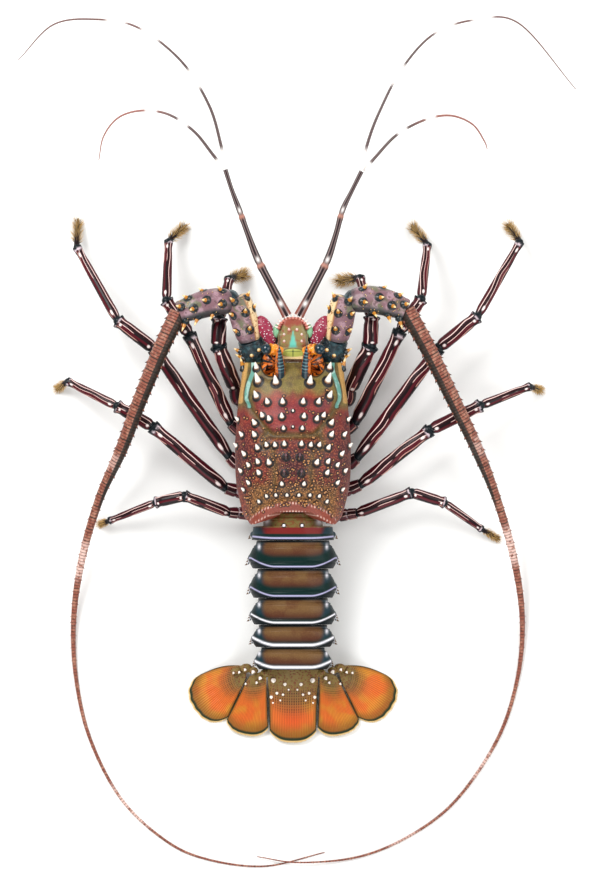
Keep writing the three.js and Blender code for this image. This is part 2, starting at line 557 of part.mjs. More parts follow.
function makeMaxilliped(name, side) {
  const path = [[5.6, 37, 14, 3.6], [6.5, 46, 13.5, 3.4], [8, 56, 14.5, 3], [8, 63, 16, 2.4], [6.5, 69, 12, 1.4],
    [5.5, 71, 9, 0.7]];
  addNode(`maxilliped_${name}`, [tube(path.map((p) => mirror(p, side)), { sides: 8, perSpan: 1 })], colours.leg);
}

// One ring of the abdomen: an arched plate with a step at its rear edge, a pointed side flap on
// each side and, on rings two to five, a pair of swimming flaps beneath
function makeRing(index) {
  const front = ringEnds[index] - gap / 2;
  const rear = ringEnds[index + 1] + gap / 2;
  const half = ringHalfWidth[index];
  const nextTop = ringTop[index + 1] ?? lastTop;
  const nextHalf = ringHalfWidth[index + 1] ?? lastHalfWidth;
  const low = ringEdge[index];
  const archCount = 14;
  // Share of the ring's length, how much its surface stands out there, and how much its sides do
  const stations = [[0, -1.4, -2.4], [0.14, -1.2, -2.2], [0.2, 0, -1.6], [0.7, 0.3, 1.2], [1, 0.2, -1.2]];
  const rings = stations.map(([share, swell, bulge]) => {
    const y = mix(front, rear, share);
    const neck = index === 0 && y > neckEnd;
    const wide = (neck ? neckHalfWidth : mix(half, nextHalf, share * 0.6)) + swell + (index ? bulge : 0);
    const top = mix(ringTop[index], nextTop, share * 0.8) + swell;
    const middle = low + (top - low) * 0.42;
    const arch = Array.from({ length: archCount + 1 }, (_, i) => {
      const angle = ((2 * i) / archCount - 1) * 2;
      const down = (middle - low) / -Math.cos(2);
      const z = middle + Math.cos(angle) * (Math.cos(angle) > 0 ? top - middle : down);
      const x = wide * Math.sin(angle);
      return new THREE.Vector3(x, y, z);
    });
    return [...arch, ...[0.7, -0.7].map((s) => new THREE.Vector3(wide * s, y, low + 2.5))];
  });
  // The first ring is hollowed in front to the carapace's rear edge, moved back by the gap
  const shellBehind = carapaceBody().translate([0, -gap - 0.1, 0]);
  const pieces = [index === 0 ? loft(rings).subtract(shellBehind) : loft(rings)];
  const reach = flapReach[index];
  for (const side of [-1, 1]) {
    const wide = mix(half, nextHalf, 0.5) * side;
    const start = index === 0 ? -50 : front;
    const flap = [[wide * 0.84, 0.5, low + 9, 2.6], [wide, 0.6, low + 2, 1.8],
      [wide + side * reach * 0.5, 0.86, low - 1.6, 0.5]];
    pieces.push(tube(flap.map(([x, share, z, r]) => [x, mix(start, rear, share), z, r]), { sides: 6, perSpan: 1 }));
    if (index >= 1 && index <= 4) {
      const y = mix(front, rear, 0.45);
      const paddle = (u, v) => new THREE.Vector3(side * (11 + v * (3 + 1.6 * u)), y - 7 * u, low + 4 - 6.5 * u);
      pieces.push(sheet(paddle, () => 1, 3, 2));
    }
  }
  addNode(`abdomen_${index + 1}`, pieces, colours.ring);
}

// Tail fan: each blade runs from a short root line to a rounded rim, with low rays on its upper face;
// bulge is how far its front edge curves forward
const fanRoot = -136.6; // where the tail fan starts along Y
const rayCount = 7;

function fanHeight(x, y, lift) {
  const reach = Math.hypot(x * 0.86, y + 132) / 44;
  return thinEdge + lift + 17.5 * Math.pow(Math.max(0, 1 - reach), 1.15);
}

function blade(name, rootFrom, rootTo, rim, lift, rootThickness, { extra = [], bulge = 0 } = {}) {
  const top = (u, v) => {
    const far = rim(v);
    const x = mix(mix(rootFrom[0], rootTo[0], (v + 1) / 2), far[0], u);
    const y = mix(mix(rootFrom[1], rootTo[1], (v + 1) / 2), far[1], u)
      + bulge * Math.sin(Math.PI * u) * Math.pow((1 - v) / 2, 2);
    const ray = Math.cos(Math.PI * v * rayCount) * 0.28 * Math.sin(Math.PI * Math.min(1, u * 1.05));
    return new THREE.Vector3(x, y, fanHeight(x, y, lift) + ray);
  };
  const thick = (u) => mix(rootThickness, thinEdge, Math.min(1, u * 1.5));
  addNode(name, [sheet(top, (u) => Math.max(thick(u), 1), 4, rayCount * 2), ...extra], colours.fan);
}

// The rim of a side blade: an arc about a centre, its radius falling towards both corners
function polarRim(centre, side, from, to, radius, fall) {
  return (v) => {
    const angle = THREE.MathUtils.degToRad(mix(from, to, (v + 1) / 2));
    const reach = radius * (1 - fall * Math.pow(Math.abs(v), 3));
    return [side * (centre[0] + reach * Math.cos(angle)), centre[1] + reach * Math.sin(angle)];
  };
}

function makeTail() {
  const telsonRim = (v) => [-14.2 * v, -179.6 + 4.5 * Math.pow(Math.abs(v), 2.6)];
  const telsonSpines = [[-11.7, -141.8], [-4.8, -144.2], [-9.6, -149.6]]
    .flatMap(([x, y]) => [[x, y], [-x, y]])
    .map(([x, y]) => spine(new THREE.Vector3(x, y, fanHeight(x, y, 1.9)), new THREE.Vector3(0, -1, 0.8), 2.4, 1.1));
  blade('telson', [15, fanRoot], [-15, fanRoot], telsonRim, 1.9, 5.5, { extra: telsonSpines });
  for (const [name, side] of bothSides) {
    const innerRim = polarRim([20, -132], side, 300.5, 262.5, 44.2, 0.1);
    blade(`uropod_inner_${name}`, [side * 26, -139.5], [side * 16.2, fanRoot - 0.4], innerRim, 1.5, 4);
    const outerRim = polarRim([24, -135], side, 353, 296, 43, 0.24);
    const knuckle = ball([side * 28, -134.8, 9.4], [3.6, 2.8, 2.8], 8, 6);
    blade(`uropod_outer_${name}`, [side * 27, -133.6], [side * 28.6, -141.5], outerRim, 0, 4,
      { extra: [knuckle], bulge: 2.6 });
  }
}

makeCarapace();
makeSternum();
makeFace();
for (const [name, side] of bothSides) {
  makeEyes(name, side);
  makeAntenna(name, side);
  makeAntennule(name);
  makeMaxilliped(name, side);
}
Object.entries(legTable).forEach(([name, row], index) => makeLeg(name, row, index));
for (let index = 0; index < ringTop.length; index++) makeRing(index);
makeTail();

// The origin is the bottom centre of the whole box
const box = new THREE.Box3().setFromObject(model);
model.position.set(-(box.min.x + box.max.x) / 2, -(box.min.y + box.max.y) / 2, -box.min.z);
model.updateMatrixWorld(true);

export default model;
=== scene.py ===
# A spiny lobster at life size, spread flat on a pale board and seen straight from above
import math
import bpy
import numpy as np
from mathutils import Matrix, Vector


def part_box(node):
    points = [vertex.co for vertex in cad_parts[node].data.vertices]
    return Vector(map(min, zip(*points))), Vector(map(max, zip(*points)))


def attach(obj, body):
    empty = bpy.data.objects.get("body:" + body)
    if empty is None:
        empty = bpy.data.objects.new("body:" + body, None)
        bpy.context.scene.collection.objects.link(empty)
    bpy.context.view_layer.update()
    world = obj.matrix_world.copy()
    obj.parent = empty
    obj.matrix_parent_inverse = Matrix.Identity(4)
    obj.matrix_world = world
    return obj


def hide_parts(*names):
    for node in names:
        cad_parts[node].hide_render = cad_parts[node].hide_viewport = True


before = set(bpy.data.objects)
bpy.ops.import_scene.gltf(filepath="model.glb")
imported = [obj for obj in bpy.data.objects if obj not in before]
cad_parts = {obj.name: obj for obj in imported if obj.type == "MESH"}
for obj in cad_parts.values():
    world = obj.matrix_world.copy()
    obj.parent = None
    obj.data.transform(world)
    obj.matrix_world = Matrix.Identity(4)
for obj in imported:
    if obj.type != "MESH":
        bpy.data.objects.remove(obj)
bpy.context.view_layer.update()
mm = 0.001

# The animal is worked out in mm about its own midline, then moved to where the frame holds it
sternumRear = -46.0
bellyLow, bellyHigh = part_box("sternum")
bodyPlace = np.array([(bellyLow[0] + bellyHigh[0]) / 2 / mm, bellyLow[1] / mm - sternumRear, 0.0])
sides = {"left": -1, "right": 1}


# Numbers and curves

def smooth(low, high, value):
    # 0 below low, 1 above high, and 3t^2 - 2t^3 between them
    t = np.clip((np.asarray(value, float) - low) / (high - low), 0, 1)
    return t * t * (3 - 2 * t)


def bump(distance, width):
    # a round hill of height 1 and half width about width: exp(-(d / w)^2)
    return np.exp(-(distance / width) ** 2)


def easeTable(table, places, steps=400, spread=11):
    # reads rows of (place, value, ...) at any places: straight lines between the rows, rounded by a running
    # mean over spread steps to each side, with the line carried on past both ends
    rows = np.array(sorted(table), float)
    fine = np.linspace(rows[0, 0], rows[-1, 0], steps)
    kernel = np.hanning(2 * spread + 1)
    kernel /= kernel.sum()
    out = []
    for column in rows.T[1:]:
        line = np.interp(fine, rows[:, 0], column)
        before, beyond = 2 * line[0] - line[spread:0:-1], 2 * line[-1] - line[-2:-spread - 2:-1]
        padded = np.concatenate([before, line, beyond])
        out.append(np.interp(places, fine, np.convolve(padded, kernel, "valid")))
    return out


def pathAt(rows, t):
    # Catmull-Rom curve through the rows, t from 0 to 1 in equal shares for each row
    rows = np.asarray(rows, float)
    count = len(rows)
    padded = np.vstack([2 * rows[0] - rows[1], rows, 2 * rows[-1] - rows[-2]])
    place = np.clip(t, 0, 1) * (count - 1)
    span = np.minimum(place.astype(int), count - 2)
    u = (place - span)[:, None]
    a, b, c, d = (padded[span + k] for k in range(4))
    return 0.5 * (2 * b + (c - a) * u + (2 * a - 5 * b + 4 * c - d) * u**2 + (3 * b - a - 3 * c + d) * u**3)


def evenPath(rows, count):
    # the same curve at points that are equally far apart, with the length run so far
    fine = pathAt(rows, np.linspace(0, 1, 60 * len(rows)))
    steps = np.linalg.norm(np.diff(fine[:, :3], axis=0), axis=1)
    run = np.concatenate([[0], np.cumsum(steps)])
    places = np.linspace(0, run[-1], count)
    return np.stack([np.interp(places, run, column) for column in fine.T], axis=1), places


def unit(vectors):
    # each vector divided by its own length
    return vectors / np.maximum(np.linalg.norm(vectors, axis=-1, keepdims=True), 1e-9)


def nearest(places, targets):
    # distance from each place to the nearest of some targets
    return np.abs(places[:, None] - targets).min(axis=1)


def nearFeet(points, feet, sizes):
    # distance from each point to the nearest of some feet, in units of that foot's size
    near = np.full(points.shape[:-1], 1e9)
    for foot, size in zip(feet, sizes):
        near = np.minimum(near, np.linalg.norm(points - foot, axis=-1) / size)
    return near


def ringAngles(around):
    # equal steps round a section, from 0
    return np.arange(around) / around * 2 * math.pi


def nearLine(x, y, line):
    # distance in the plan from each (x, y) to a line of points
    line = np.asarray(line, float)
    best = np.full(np.shape(x), 1e9)
    for a, b in zip(line[:-1], line[1:]):
        step = b - a
        t = np.clip(((x - a[0]) * step[0] + (y - a[1]) * step[1]) / (step @ step), 0, 1)
        best = np.minimum(best, np.hypot(x - a[0] - t * step[0], y - a[1] - t * step[1]))
    return best


# Surfaces: each is a dictionary of points, quads, triangles and named numbers at the points

def ringFaces(rows, around):
    # quads between the rings of a grid, and a fan of triangles from its first and its last ring to two
    # hubs, which are numbered after the grid's own points
    index = np.arange(rows * around).reshape(rows, around)
    after = np.roll(index, -1, axis=1)
    quads = np.stack([index[:-1], after[:-1], after[1:], index[1:]], axis=-1).reshape(-1, 4)
    first = rows * around
    startFan = np.stack([after[0], index[0], np.full(around, first)], axis=-1)
    endFan = np.stack([index[-1], after[-1], np.full(around, first + 1)], axis=-1)
    return index, quads, np.concatenate([startFan, endFan])


def gridSurface(points, ends=(None, None), **marks):
    # joins a grid (rows, round) closed in its second direction; both ends are drawn in to a point, with
    # two rings close to the rim so that the rim keeps its edge
    rows, around = points.shape[:2]
    grids = [points]
    numbers = {key: [np.broadcast_to(value, (rows, around))] for key, value in marks.items()}
    hubs = []
    for end, ring in ((0, points[0]), (1, points[-1])):
        hub = ring.mean(axis=0) if ends[end] is None else np.asarray(ends[end], float)
        hubs.append(hub)
        inner = np.stack([ring + (hub - ring) * share for share in (0.04, 0.5)])
        grids.insert(0, inner[::-1]) if end == 0 else grids.append(inner)
        for key in numbers:
            rim = numbers[key][0][0] if end == 0 else numbers[key][-1][-1]
            added = np.broadcast_to(rim, (2, around))
            numbers[key].insert(0, added) if end == 0 else numbers[key].append(added)
    whole = np.concatenate(grids)
    quads, fans = ringFaces(len(whole), around)[1:]
    flat = {key: np.concatenate([np.concatenate(value).ravel(), [value[0].mean(), value[-1].mean()]])
            for key, value in numbers.items()}
    return {"points": np.concatenate([whole.reshape(-1, 3), hubs]), "quads": quads, "triangles": fans,
            "marks": flat}


def tube(centre, radius, around, floor=None, **marks):
    # carries a round section along a line: point = centre + r (cos a * across + sin a * up), where radius
    # may change along the line and round the section. Marks along and angle are added.
    along = unit(np.gradient(centre, axis=0))
    across = unit(np.cross([0, 0, 1], along))
    up = np.cross(along, across)
    angle = ringAngles(around)
    reach = np.broadcast_to(np.asarray(radius, float).reshape(len(centre), -1), (len(centre), around))
    points = centre[:, None] + reach[..., None] * (
        np.cos(angle)[None, :, None] * across[:, None] + np.sin(angle)[None, :, None] * up[:, None])
    if floor is not None:
        points[..., 2] = np.maximum(points[..., 2], floor)
    share = np.linspace(0, 1, len(centre))[:, None]
    return gridSurface(points, along=share, angle=angle[None, :], **marks)


def cones(feet, directions, lengths, radii, around=8, rings=6, fullness=0.8, flare=0.35, sunk=0.22):
    # many spines at once: radius falls from the foot to the tip as (1 - t)^fullness, with a flared foot, and
    # a share sunk of the length lies below the foot. Mark tip runs from 0 at the foot to 1 at the point.
    feet = np.asarray(feet, float)
    axis = unit(np.asarray(directions, float))
    lengths = np.broadcast_to(lengths, len(feet)).astype(float)[:, None, None]
    radii = np.broadcast_to(radii, len(feet)).astype(float)[:, None, None]
    level = np.where(np.abs(axis[:, 2:]) < 0.9, [[0.0, 0.0, 1.0]], [[0.0, 1.0, 0.0]])
    across = unit(np.cross(level, axis))
    up = np.cross(axis, across)
    t = np.linspace(-sunk, 1, rings)
    girth = np.clip(1 - np.clip(t, 0, 1), 0.02, 1) ** fullness * (1 + flare * bump(t + 0.05, 0.16))
    centre = feet[:, None] + axis[:, None] * (t[None, :, None] * lengths)
    angle = ringAngles(around)
    ring = np.cos(angle)[None, :, None] * across[:, None] + np.sin(angle)[None, :, None] * up[:, None]
    points = centre[:, :, None] + ring[:, None] * (radii * girth[None, :, None])[..., None]
    return bundle(points, np.broadcast_to(t[None, :, None], points.shape[:3]), "tip")


def bundle(points, mark, name):
    # turns an array (pieces, rings, around) into one surface of closed pieces, each end drawn to its centre
    pieces, rings, around = points.shape[:3]
    block = rings * around + 2
    ends = np.stack([points[:, 0].mean(axis=1), points[:, -1].mean(axis=1)], axis=1)
    flat = np.concatenate([points.reshape(pieces, -1, 3), ends], axis=1).reshape(-1, 3)
    quads, triangles = ringFaces(rings, around)[1:]
    shift = (np.arange(pieces) * block)[:, None, None]
    marks = np.concatenate([mark.reshape(pieces, -1), mark[:, 0, :1], mark[:, -1, :1]], axis=1)
    return {"points": flat, "quads": (quads[None] + shift).reshape(-1, 4),
            "triangles": (triangles[None] + shift).reshape(-1, 3), "marks": {name: marks.ravel()}}


def rootPatches(corners, block):
    # the map of tufts: each bristle is a small patch, 0.003 across, at its root's place on the map
    spread = np.resize(np.array([(0, 0), (0.003, 0), (0.0015, 0.003)]), (block, 2))
    return (corners[:, None] * 0.99 + spread[None]).reshape(-1, 2)


def ballTilts(rings):
    # angles from the lower pole to the upper one, just short of both
    return np.linspace(0.02, math.pi - 0.02, rings)[:, None]


def ballSurface(centre, radii, around=40, rings=24, **marks):
    # an ellipsoid from latitude and longitude
    tilt = ballTilts(rings)
    turn = ringAngles(around)[None, :]
    shape = np.stack([np.sin(tilt) * np.cos(turn), np.sin(tilt) * np.sin(turn),
                      -np.cos(tilt) * np.ones_like(turn)], axis=-1)
    return gridSurface(np.asarray(centre, float) + shape * np.asarray(radii, float), **marks)


def plateSurface(top, thickness, rows, columns, **marks):
    # a closed plate: the upper face is top(u, v), the lower one lies thickness(u, v) beneath, and the
    # section runs round both, so that each row of the grid is one closed ring; a strip of quads between
    # the two faces closes the root line and the rim
    u = np.linspace(0, 1, rows)[:, None] * np.ones((1, columns))
    v = np.linspace(-1, 1, columns)[None, :] * np.ones((rows, 1))
    upper = top(u, v)
    lower = upper.copy()
    lower[..., 2] = np.maximum(lower[..., 2] - thickness(u, v), 0.0)
    points = np.concatenate([upper, lower[:, ::-1]], axis=1)
    flat = {key: np.concatenate([value(u, v), value(u, v)[:, ::-1]], axis=1) for key, value in marks.items()}
    flat["along"] = np.concatenate([u, u[:, ::-1]], axis=1)
    flat["across"] = np.concatenate([v, v[:, ::-1]], axis=1)
    index, quads, fans = ringFaces(rows, columns * 2)
    near, far = np.arange(columns - 1), 2 * columns - 1 - np.arange(columns - 1)
    strips = [np.stack([row[far], row[far - 1], row[near + 1], row[near]], axis=-1)
              for row in (index[0], index[-1])]
    quads = np.concatenate([quads, strips[0], strips[1][:, ::-1]])
    return {"points": points.reshape(-1, 3), "quads": quads, "triangles": fans[:0],
            "marks": {key: value.ravel() for key, value in flat.items()}}


def volumeOf(surface):
    # a . (b x c) summed over all triangles, six times the volume inside; below 0 the faces point inwards
    points, quads, triangles = surface["points"], surface["quads"], surface["triangles"]
    faces = np.concatenate([quads[:, [0, 1, 2]], quads[:, [0, 2, 3]], triangles])
    a, b, c = (points[faces[:, k]] for k in range(3))
    return np.einsum("ij,ij->i", a, np.cross(b, c)).sum()


def makePiece(name, surfaces, material, nodes=(), rootMap=None):
    # puts surfaces into one mesh in metres, faces outwards, and rides it on the frame; rootMap gives a tuft's
    # points their places on the map
    shift = 0
    points, quads, triangles, marks = [], [], [], {}
    names = sorted({key for surface in surfaces for key in surface["marks"]})
    for surface in surfaces:
        turned = volumeOf(surface) < 0
        q, t = surface["quads"], surface["triangles"]
        quads.append((q[:, ::-1] if turned else q) + shift)
        triangles.append((t[:, ::-1] if turned else t) + shift)
        points.append(surface["points"])
        for key in names:
            marks.setdefault(key, []).append(surface["marks"].get(key, np.zeros(len(surface["points"]))))
        shift += len(surface["points"])
    points = (np.concatenate(points) + bodyPlace) * mm
    quads, triangles = np.concatenate(quads), np.concatenate(triangles)
    loops = np.concatenate([quads.ravel(), triangles.ravel()]).astype(np.int32)
    starts = np.concatenate([np.arange(len(quads)) * 4, len(quads) * 4 + np.arange(len(triangles)) * 3])
    mesh = bpy.data.meshes.new(name)
    mesh.vertices.add(len(points))
    mesh.vertices.foreach_set("co", points.ravel())
    mesh.loops.add(len(loops))
    mesh.loops.foreach_set("vertex_index", loops)
    mesh.polygons.add(len(starts))
    mesh.polygons.foreach_set("loop_start", starts.astype(np.int32))
    mesh.update(calc_edges=True)
    mesh.polygons.foreach_set("use_smooth", np.ones(len(starts), bool))
    for key in names:
        layer = mesh.attributes.new(key, "FLOAT", "POINT")
        layer.data.foreach_set("value", np.concatenate(marks[key]).astype(np.float32))
    if rootMap is not None:
        layer = mesh.uv_layers.new(name="OFBake")
        layer.data.foreach_set("uv", rootMap[loops].ravel().astype(np.float32))
    mesh.materials.append(material)
    piece = bpy.data.objects.new(name, mesh)
    bpy.context.collection.objects.link(piece)
    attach(piece, "root")
    if nodes:
        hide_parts(*nodes)
    return piece


# Materials: all shells are chitin, a tough horn-like skin, satin where fresh, with an IOR near 1.56

def linearColour(hexText):
    # sRGB hex to linear light
    parts = np.array([int(hexText[k:k + 2], 16) for k in (0, 2, 4)]) / 255
    linear = np.where(parts <= 0.04045, parts / 12.92, ((parts + 0.055) / 1.055) ** 2.4)
    return (*linear, 1.0)


def addNode(tree, kind, links=None, **settings):
    # one node, with its settings (a number for a socket is keyed by its name with spaces as underscores)
    node = tree.nodes.new(kind)
    for key, value in settings.items():
        socket = node.inputs.get(key.replace("_", " ").title()) or node.inputs.get(key.replace("_", " "))
        if hasattr(node, key):
            setattr(node, key, value)
        elif socket is not None:
            socket.default_value = value
        else:
            raise KeyError(kind + " has no " + key)
    for key, source in (links or {}).items():
        tree.links.new(source, node.inputs[key])
    return node


class Finish:
    # a material under way: its colour so far is one socket, and each call lays another colour over it
    def __init__(self, name, colour, roughness, ior=1.56, specular=0.3):
        self.material = bpy.data.materials.new(name)
        self.material.use_nodes = True
        self.tree = self.material.node_tree
        self.shader = self.tree.nodes["Principled BSDF"]
        self.shader.inputs["IOR"].default_value = ior
        self.shader.inputs["Roughness"].default_value = roughness
        self.shader.inputs["Specular IOR Level"].default_value = specular
        self.place = addNode(self.tree, "ShaderNodeTexCoord").outputs["Object"]
        base = addNode(self.tree, "ShaderNodeRGB")
        base.outputs[0].default_value = linearColour(colour)
        self.colour = base.outputs[0]
        self.height = None

    def mark(self, name):
        # a number that the piece's points carry
        return addNode(self.tree, "ShaderNodeAttribute", attribute_name=name).outputs["Fac"]

    def noise(self, size, detail=3.0):
        # soft mottling with patches about size mm across
        scale = 1 / (size * mm)
        node = addNode(self.tree, "ShaderNodeTexNoise", {"Vector": self.place}, scale=scale, detail=detail)
        return node.outputs["Fac"]

    def grains(self, spacing):
        # 1 at the middle of each granule, which are about spacing mm apart, falling to 0 between them
        node = addNode(self.tree, "ShaderNodeTexVoronoi", {"Vector": self.place}, scale=1 / (spacing * mm))
        return self.band(node.outputs["Distance"], 0.55, 0.1)

    def band(self, value, low, high):
        # maps low..high to 0..1 smoothly; high may be less than low
        node = addNode(self.tree, "ShaderNodeMapRange", {"Value": value}, interpolation_type="SMOOTHSTEP")
        node.inputs["From Min"].default_value = low
        node.inputs["From Max"].default_value = high
        return node.outputs["Result"]

    def times(self, first, second, operation="MULTIPLY"):
        # the product of two values, or what another operation makes of them
        node = addNode(self.tree, "ShaderNodeMath", operation=operation)
        for socket, value in zip(node.inputs, (first, second)):
            if isinstance(value, (int, float)):
                socket.default_value = value
            else:
                self.tree.links.new(value, socket)
        return node.outputs[0]

    def lay(self, colour, share):
        # the colour laid over what is there, by its share
        node = addNode(self.tree, "ShaderNodeMix", data_type="RGBA")
        self.tree.links.new(share, node.inputs["Factor"])
        self.tree.links.new(self.colour, node.inputs[6])
        node.inputs[7].default_value = linearColour(colour)
        self.colour = node.outputs[2]
        return self

    def raiseBy(self, value, depth):
        # relief that stands depth mm high where value is 1
        scaled = self.times(value, depth)
        self.height = scaled if self.height is None else self.times(self.height, scaled, "ADD")
        return self

    def coat(self, weight, roughness=0.12):
        # the thin glossy skin over the chitin
        self.shader.inputs["Coat Weight"].default_value = weight
        self.shader.inputs["Coat Roughness"].default_value = roughness
        return self

    def done(self):
        # links the last colour and the relief, and hands over the material
        self.tree.links.new(self.colour, self.shader.inputs["Base Color"])
        if self.height is not None:
            node = addNode(self.tree, "ShaderNodeBump", {"Height": self.height}, strength=1.0, distance=mm)
            self.tree.links.new(node.outputs[0], self.shader.inputs["Normal"])
        return self.material


def makeShellFinish():
    # carapace: granular chitin, olive in front, ochre behind, brick red and maroon between, satin
    f = Finish("granularCarapaceChitin", "77682f", 0.48)
    f.lay("5a4a28", f.band(f.noise(7), 0.45, 0.7))
    f.lay("8e2c20", f.mark("red"))
    f.lay("6a181e", f.times(f.mark("red"), f.band(f.noise(9), 0.44, 0.6)))
    f.lay("9a4424", f.times(f.mark("red"), f.times(f.band(f.noise(6, 1.5), 0.54, 0.7), f.mark("grainy"))))
    f.lay("7c1c26", f.mark("crimson"))
    f.lay("500f1e", f.mark("maroon"))
    f.lay("a06c38", f.mark("rear"))
    f.lay("7a5630", f.times(f.mark("rear"), f.band(f.noise(3), 0.45, 0.62)))
    f.lay("8a6632", f.mark("ochre"))
    f.lay("5e4c22", f.mark("groove"))
    f.lay("d6a660", f.mark("flank"))
    f.lay("2c2214", f.mark("wedge"))
    f.lay("84342a", f.mark("border"))
    f.lay("c4864a", f.times(f.times(f.grains(1.2), 0.3), f.mark("grainy")))
    f.lay("240f0e", f.times(f.times(f.band(f.grains(1.2), 0.3, 0.0), 0.6), f.mark("grainy")))
    f.lay("f0cbbc", f.times(f.mark("beads"), 0.9))
    f.lay("e07414", f.mark("socket"))
    f.lay("120d10", f.times(f.mark("socket"), f.mark("hatch")))
    f.lay("2a1a10", f.mark("socketRim"))
    f.lay("629a8c", f.mark("teal"))
    f.lay("9cc0b4", f.times(f.mark("teal"), f.band(f.noise(5), 0.52, 0.66)))
    f.lay("1a0c0c", f.times(f.mark("pits"), 0.85))
    f.lay("0a0507", f.mark("areola"))
    f.raiseBy(f.times(f.grains(1.2), f.mark("grainy")), 0.22).raiseBy(f.grains(0.6), 0.05)
    return f.coat(0.08, 0.3).done()


def makeSpineFinish(name, ringColour, tipColour, middleColour, whiteFrom=0.06, darkTo=0.0):
    # spines: the shell's own chitin drawn to a horny point, dark at the foot and pale at the tip, polished;
    # on the carapace, tail and gold spines the white or cream tip is partly the pale horn and partly a
    # painted highlight
    f = Finish(name, ringColour, 0.3)
    f.lay(middleColour, f.band(f.mark("tip"), darkTo, darkTo + 0.08))
    # the tip colour, which on the carapace, tail and gold spines is partly a painted highlight
    f.lay(tipColour, f.band(f.mark("tip"), whiteFrom, whiteFrom + 0.2))
    f.lay("b98a4a", f.times(f.band(f.noise(1.2), 0.5, 0.7), 0.2))
    return f.coat(0.3, 0.1).done()


def makePlainChitin(name, colour, second, size=3.0, roughness=0.4, grains=0.9, relief=0.1):
    # smooth chitin with mottling and fine granules
    f = Finish(name, colour, roughness)
    f.lay(second, f.band(f.noise(size), 0.42, 0.66))
    f.lay("000000", f.times(f.band(f.grains(grains), 0.35, 0.0), 0.18))
    f.raiseBy(f.grains(grains), relief)
    return f.coat(0.25, 0.2).done()


def makePeduncleFinish():
    # stout antenna lengths: mauve and olive-brown mottled chitin, gold along the inner edge, with painted
    # shade darkening the lower half
    f = Finish("mauvePeduncleChitin", "7c5a62", 0.4)
    f.lay("64624a", f.band(f.noise(13, 2.0), 0.5, 0.62))
    f.lay("ab8a94", f.times(f.band(f.noise(5), 0.48, 0.64), 0.8))
    f.lay("46302f", f.times(f.band(f.noise(2.5), 0.55, 0.68), 0.7))
    # painted shade on the lower half, seen from above as the rims of each length, with a dark joint at the
    # near end and a dark edge along one side of the outer length
    f.lay("262c2e", f.mark("dark"))
    f.lay("9c6a40", f.band(f.mark("gold"), 0.02, 0.4))
    f.lay("ecd0a0", f.band(f.mark("gold"), 0.3, 0.85))
    f.lay("9a5f28", f.times(f.mark("gold"), f.band(f.noise(2), 0.54, 0.66)))
    f.lay("8e2440", f.mark("magenta"))
    f.lay("f2dce0", f.times(f.mark("magenta"), f.band(f.grains(1.5), 0.68, 0.88)))
    f.lay("06161b", f.mark("areola"))
    f.raiseBy(f.grains(1.3), 0.07).raiseBy(f.times(f.mark("magenta"), f.grains(1.5)), 0.35)
    return f.coat(0.15, 0.2).done()


def makeWhipFinish():
    # antenna whips: ringed chitin, red-brown outside, near black along the inner side, pale pink bands that
    # are partly painted highlights
    f = Finish("ringedWhipChitin", "8c5040", 0.45, specular=0.2)
    f.lay("b07c66", f.times(f.band(f.noise(3), 0.48, 0.62), 0.8))
    f.lay("5a3024", f.times(f.band(f.noise(1.6), 0.54, 0.66), 0.75))
    # pale pink bands, partly painted highlights
    f.lay("e0bcb0", f.times(f.mark("pale"), f.band(f.noise(2.4, 1.5), 0.32, 0.52)))
    f.lay("17201c", f.times(f.band(f.mark("shade"), 0.4, 0.65), 0.92))
    f.lay("5c3a2e", f.times(f.mark("shade"), f.band(f.noise(2.2), 0.58, 0.68)))
    f.lay("200f0c", f.mark("seam"))
    f.lay("1d1a15", f.times(f.mark("bar"), 0.8))
    f.lay("3a1c12", f.band(f.mark("tip"), 0.2, 0.7))
    return f.coat(0.08, 0.25).done()


def makeLegFinish():
    # legs: smooth dark wine chitin with long pink-white stripes and pale joints, glossy; on the lengths the
    # pale joints and the pale ovals on top near them are painted highlights; the stripes sit at places across
    # the leg,
    # -1 and 1 at its edges, and wander with a broad noise
    f = Finish("stripedLegChitin", "190d10", 0.36, specular=0.12)
    wander = f.times(f.times(f.noise(24, 1.0), 1.6), 0.8, "SUBTRACT")
    place = f.times(f.mark("across"), wander, "ADD")
    fade = f.band(f.noise(15, 1.0), 0.46, 0.52)
    stripes = ((1.0, 0.36, "460e19", 1), (-0.5, 0.24, "52121d", 1), (0.3, 0.16, "2a0b12", 1),
               (0.6, 0.075, "f3cfc8", 1), (-0.16, 0.06, "eec2ba", fade), (-0.86, 0.07, "c88e84", fade))
    for middle, width, colour, share in stripes:
        far = f.times(f.times(place, middle, "SUBTRACT"), 0.0, "ABSOLUTE")
        f.lay(colour, f.times(f.times(f.band(far, width * 1.1, width * 0.6), f.mark("body")), share))
    f.lay("0c161b", f.mark("dark"))
    # painted highlight: pale ovals on top of each length, near its joints
    f.lay("f2e2de", f.mark("spot"))
    # pale joints: on the lengths a painted highlight on the top of each joint, on hips and mouth legs pale
    # rings
    f.lay("d8c4cc", f.times(f.mark("joint"), f.band(f.noise(3), 0.46, 0.56)))
    return f.coat(0.1, 0.12).done()


def makeAntennuleFinish():
    # antennules: slender near black chitin with grey stripes, pale knuckles, white bands and pale ovals on
    # the stem that are painted highlights, satin
    f = Finish("antennuleChitin", "20161a", 0.4, specular=0.15)
    f.lay("8a4a3c", f.mark("red"))
    f.lay("c0a4a0", f.times(f.mark("stripe"), 0.75))
    f.lay("a87464", f.mark("knuckle"))
    # white bands on the branches, and painted highlights as pale ovals on the stem
    f.lay("f2ece8", f.mark("pale"))
    return f.coat(0.15, 0.2).done()


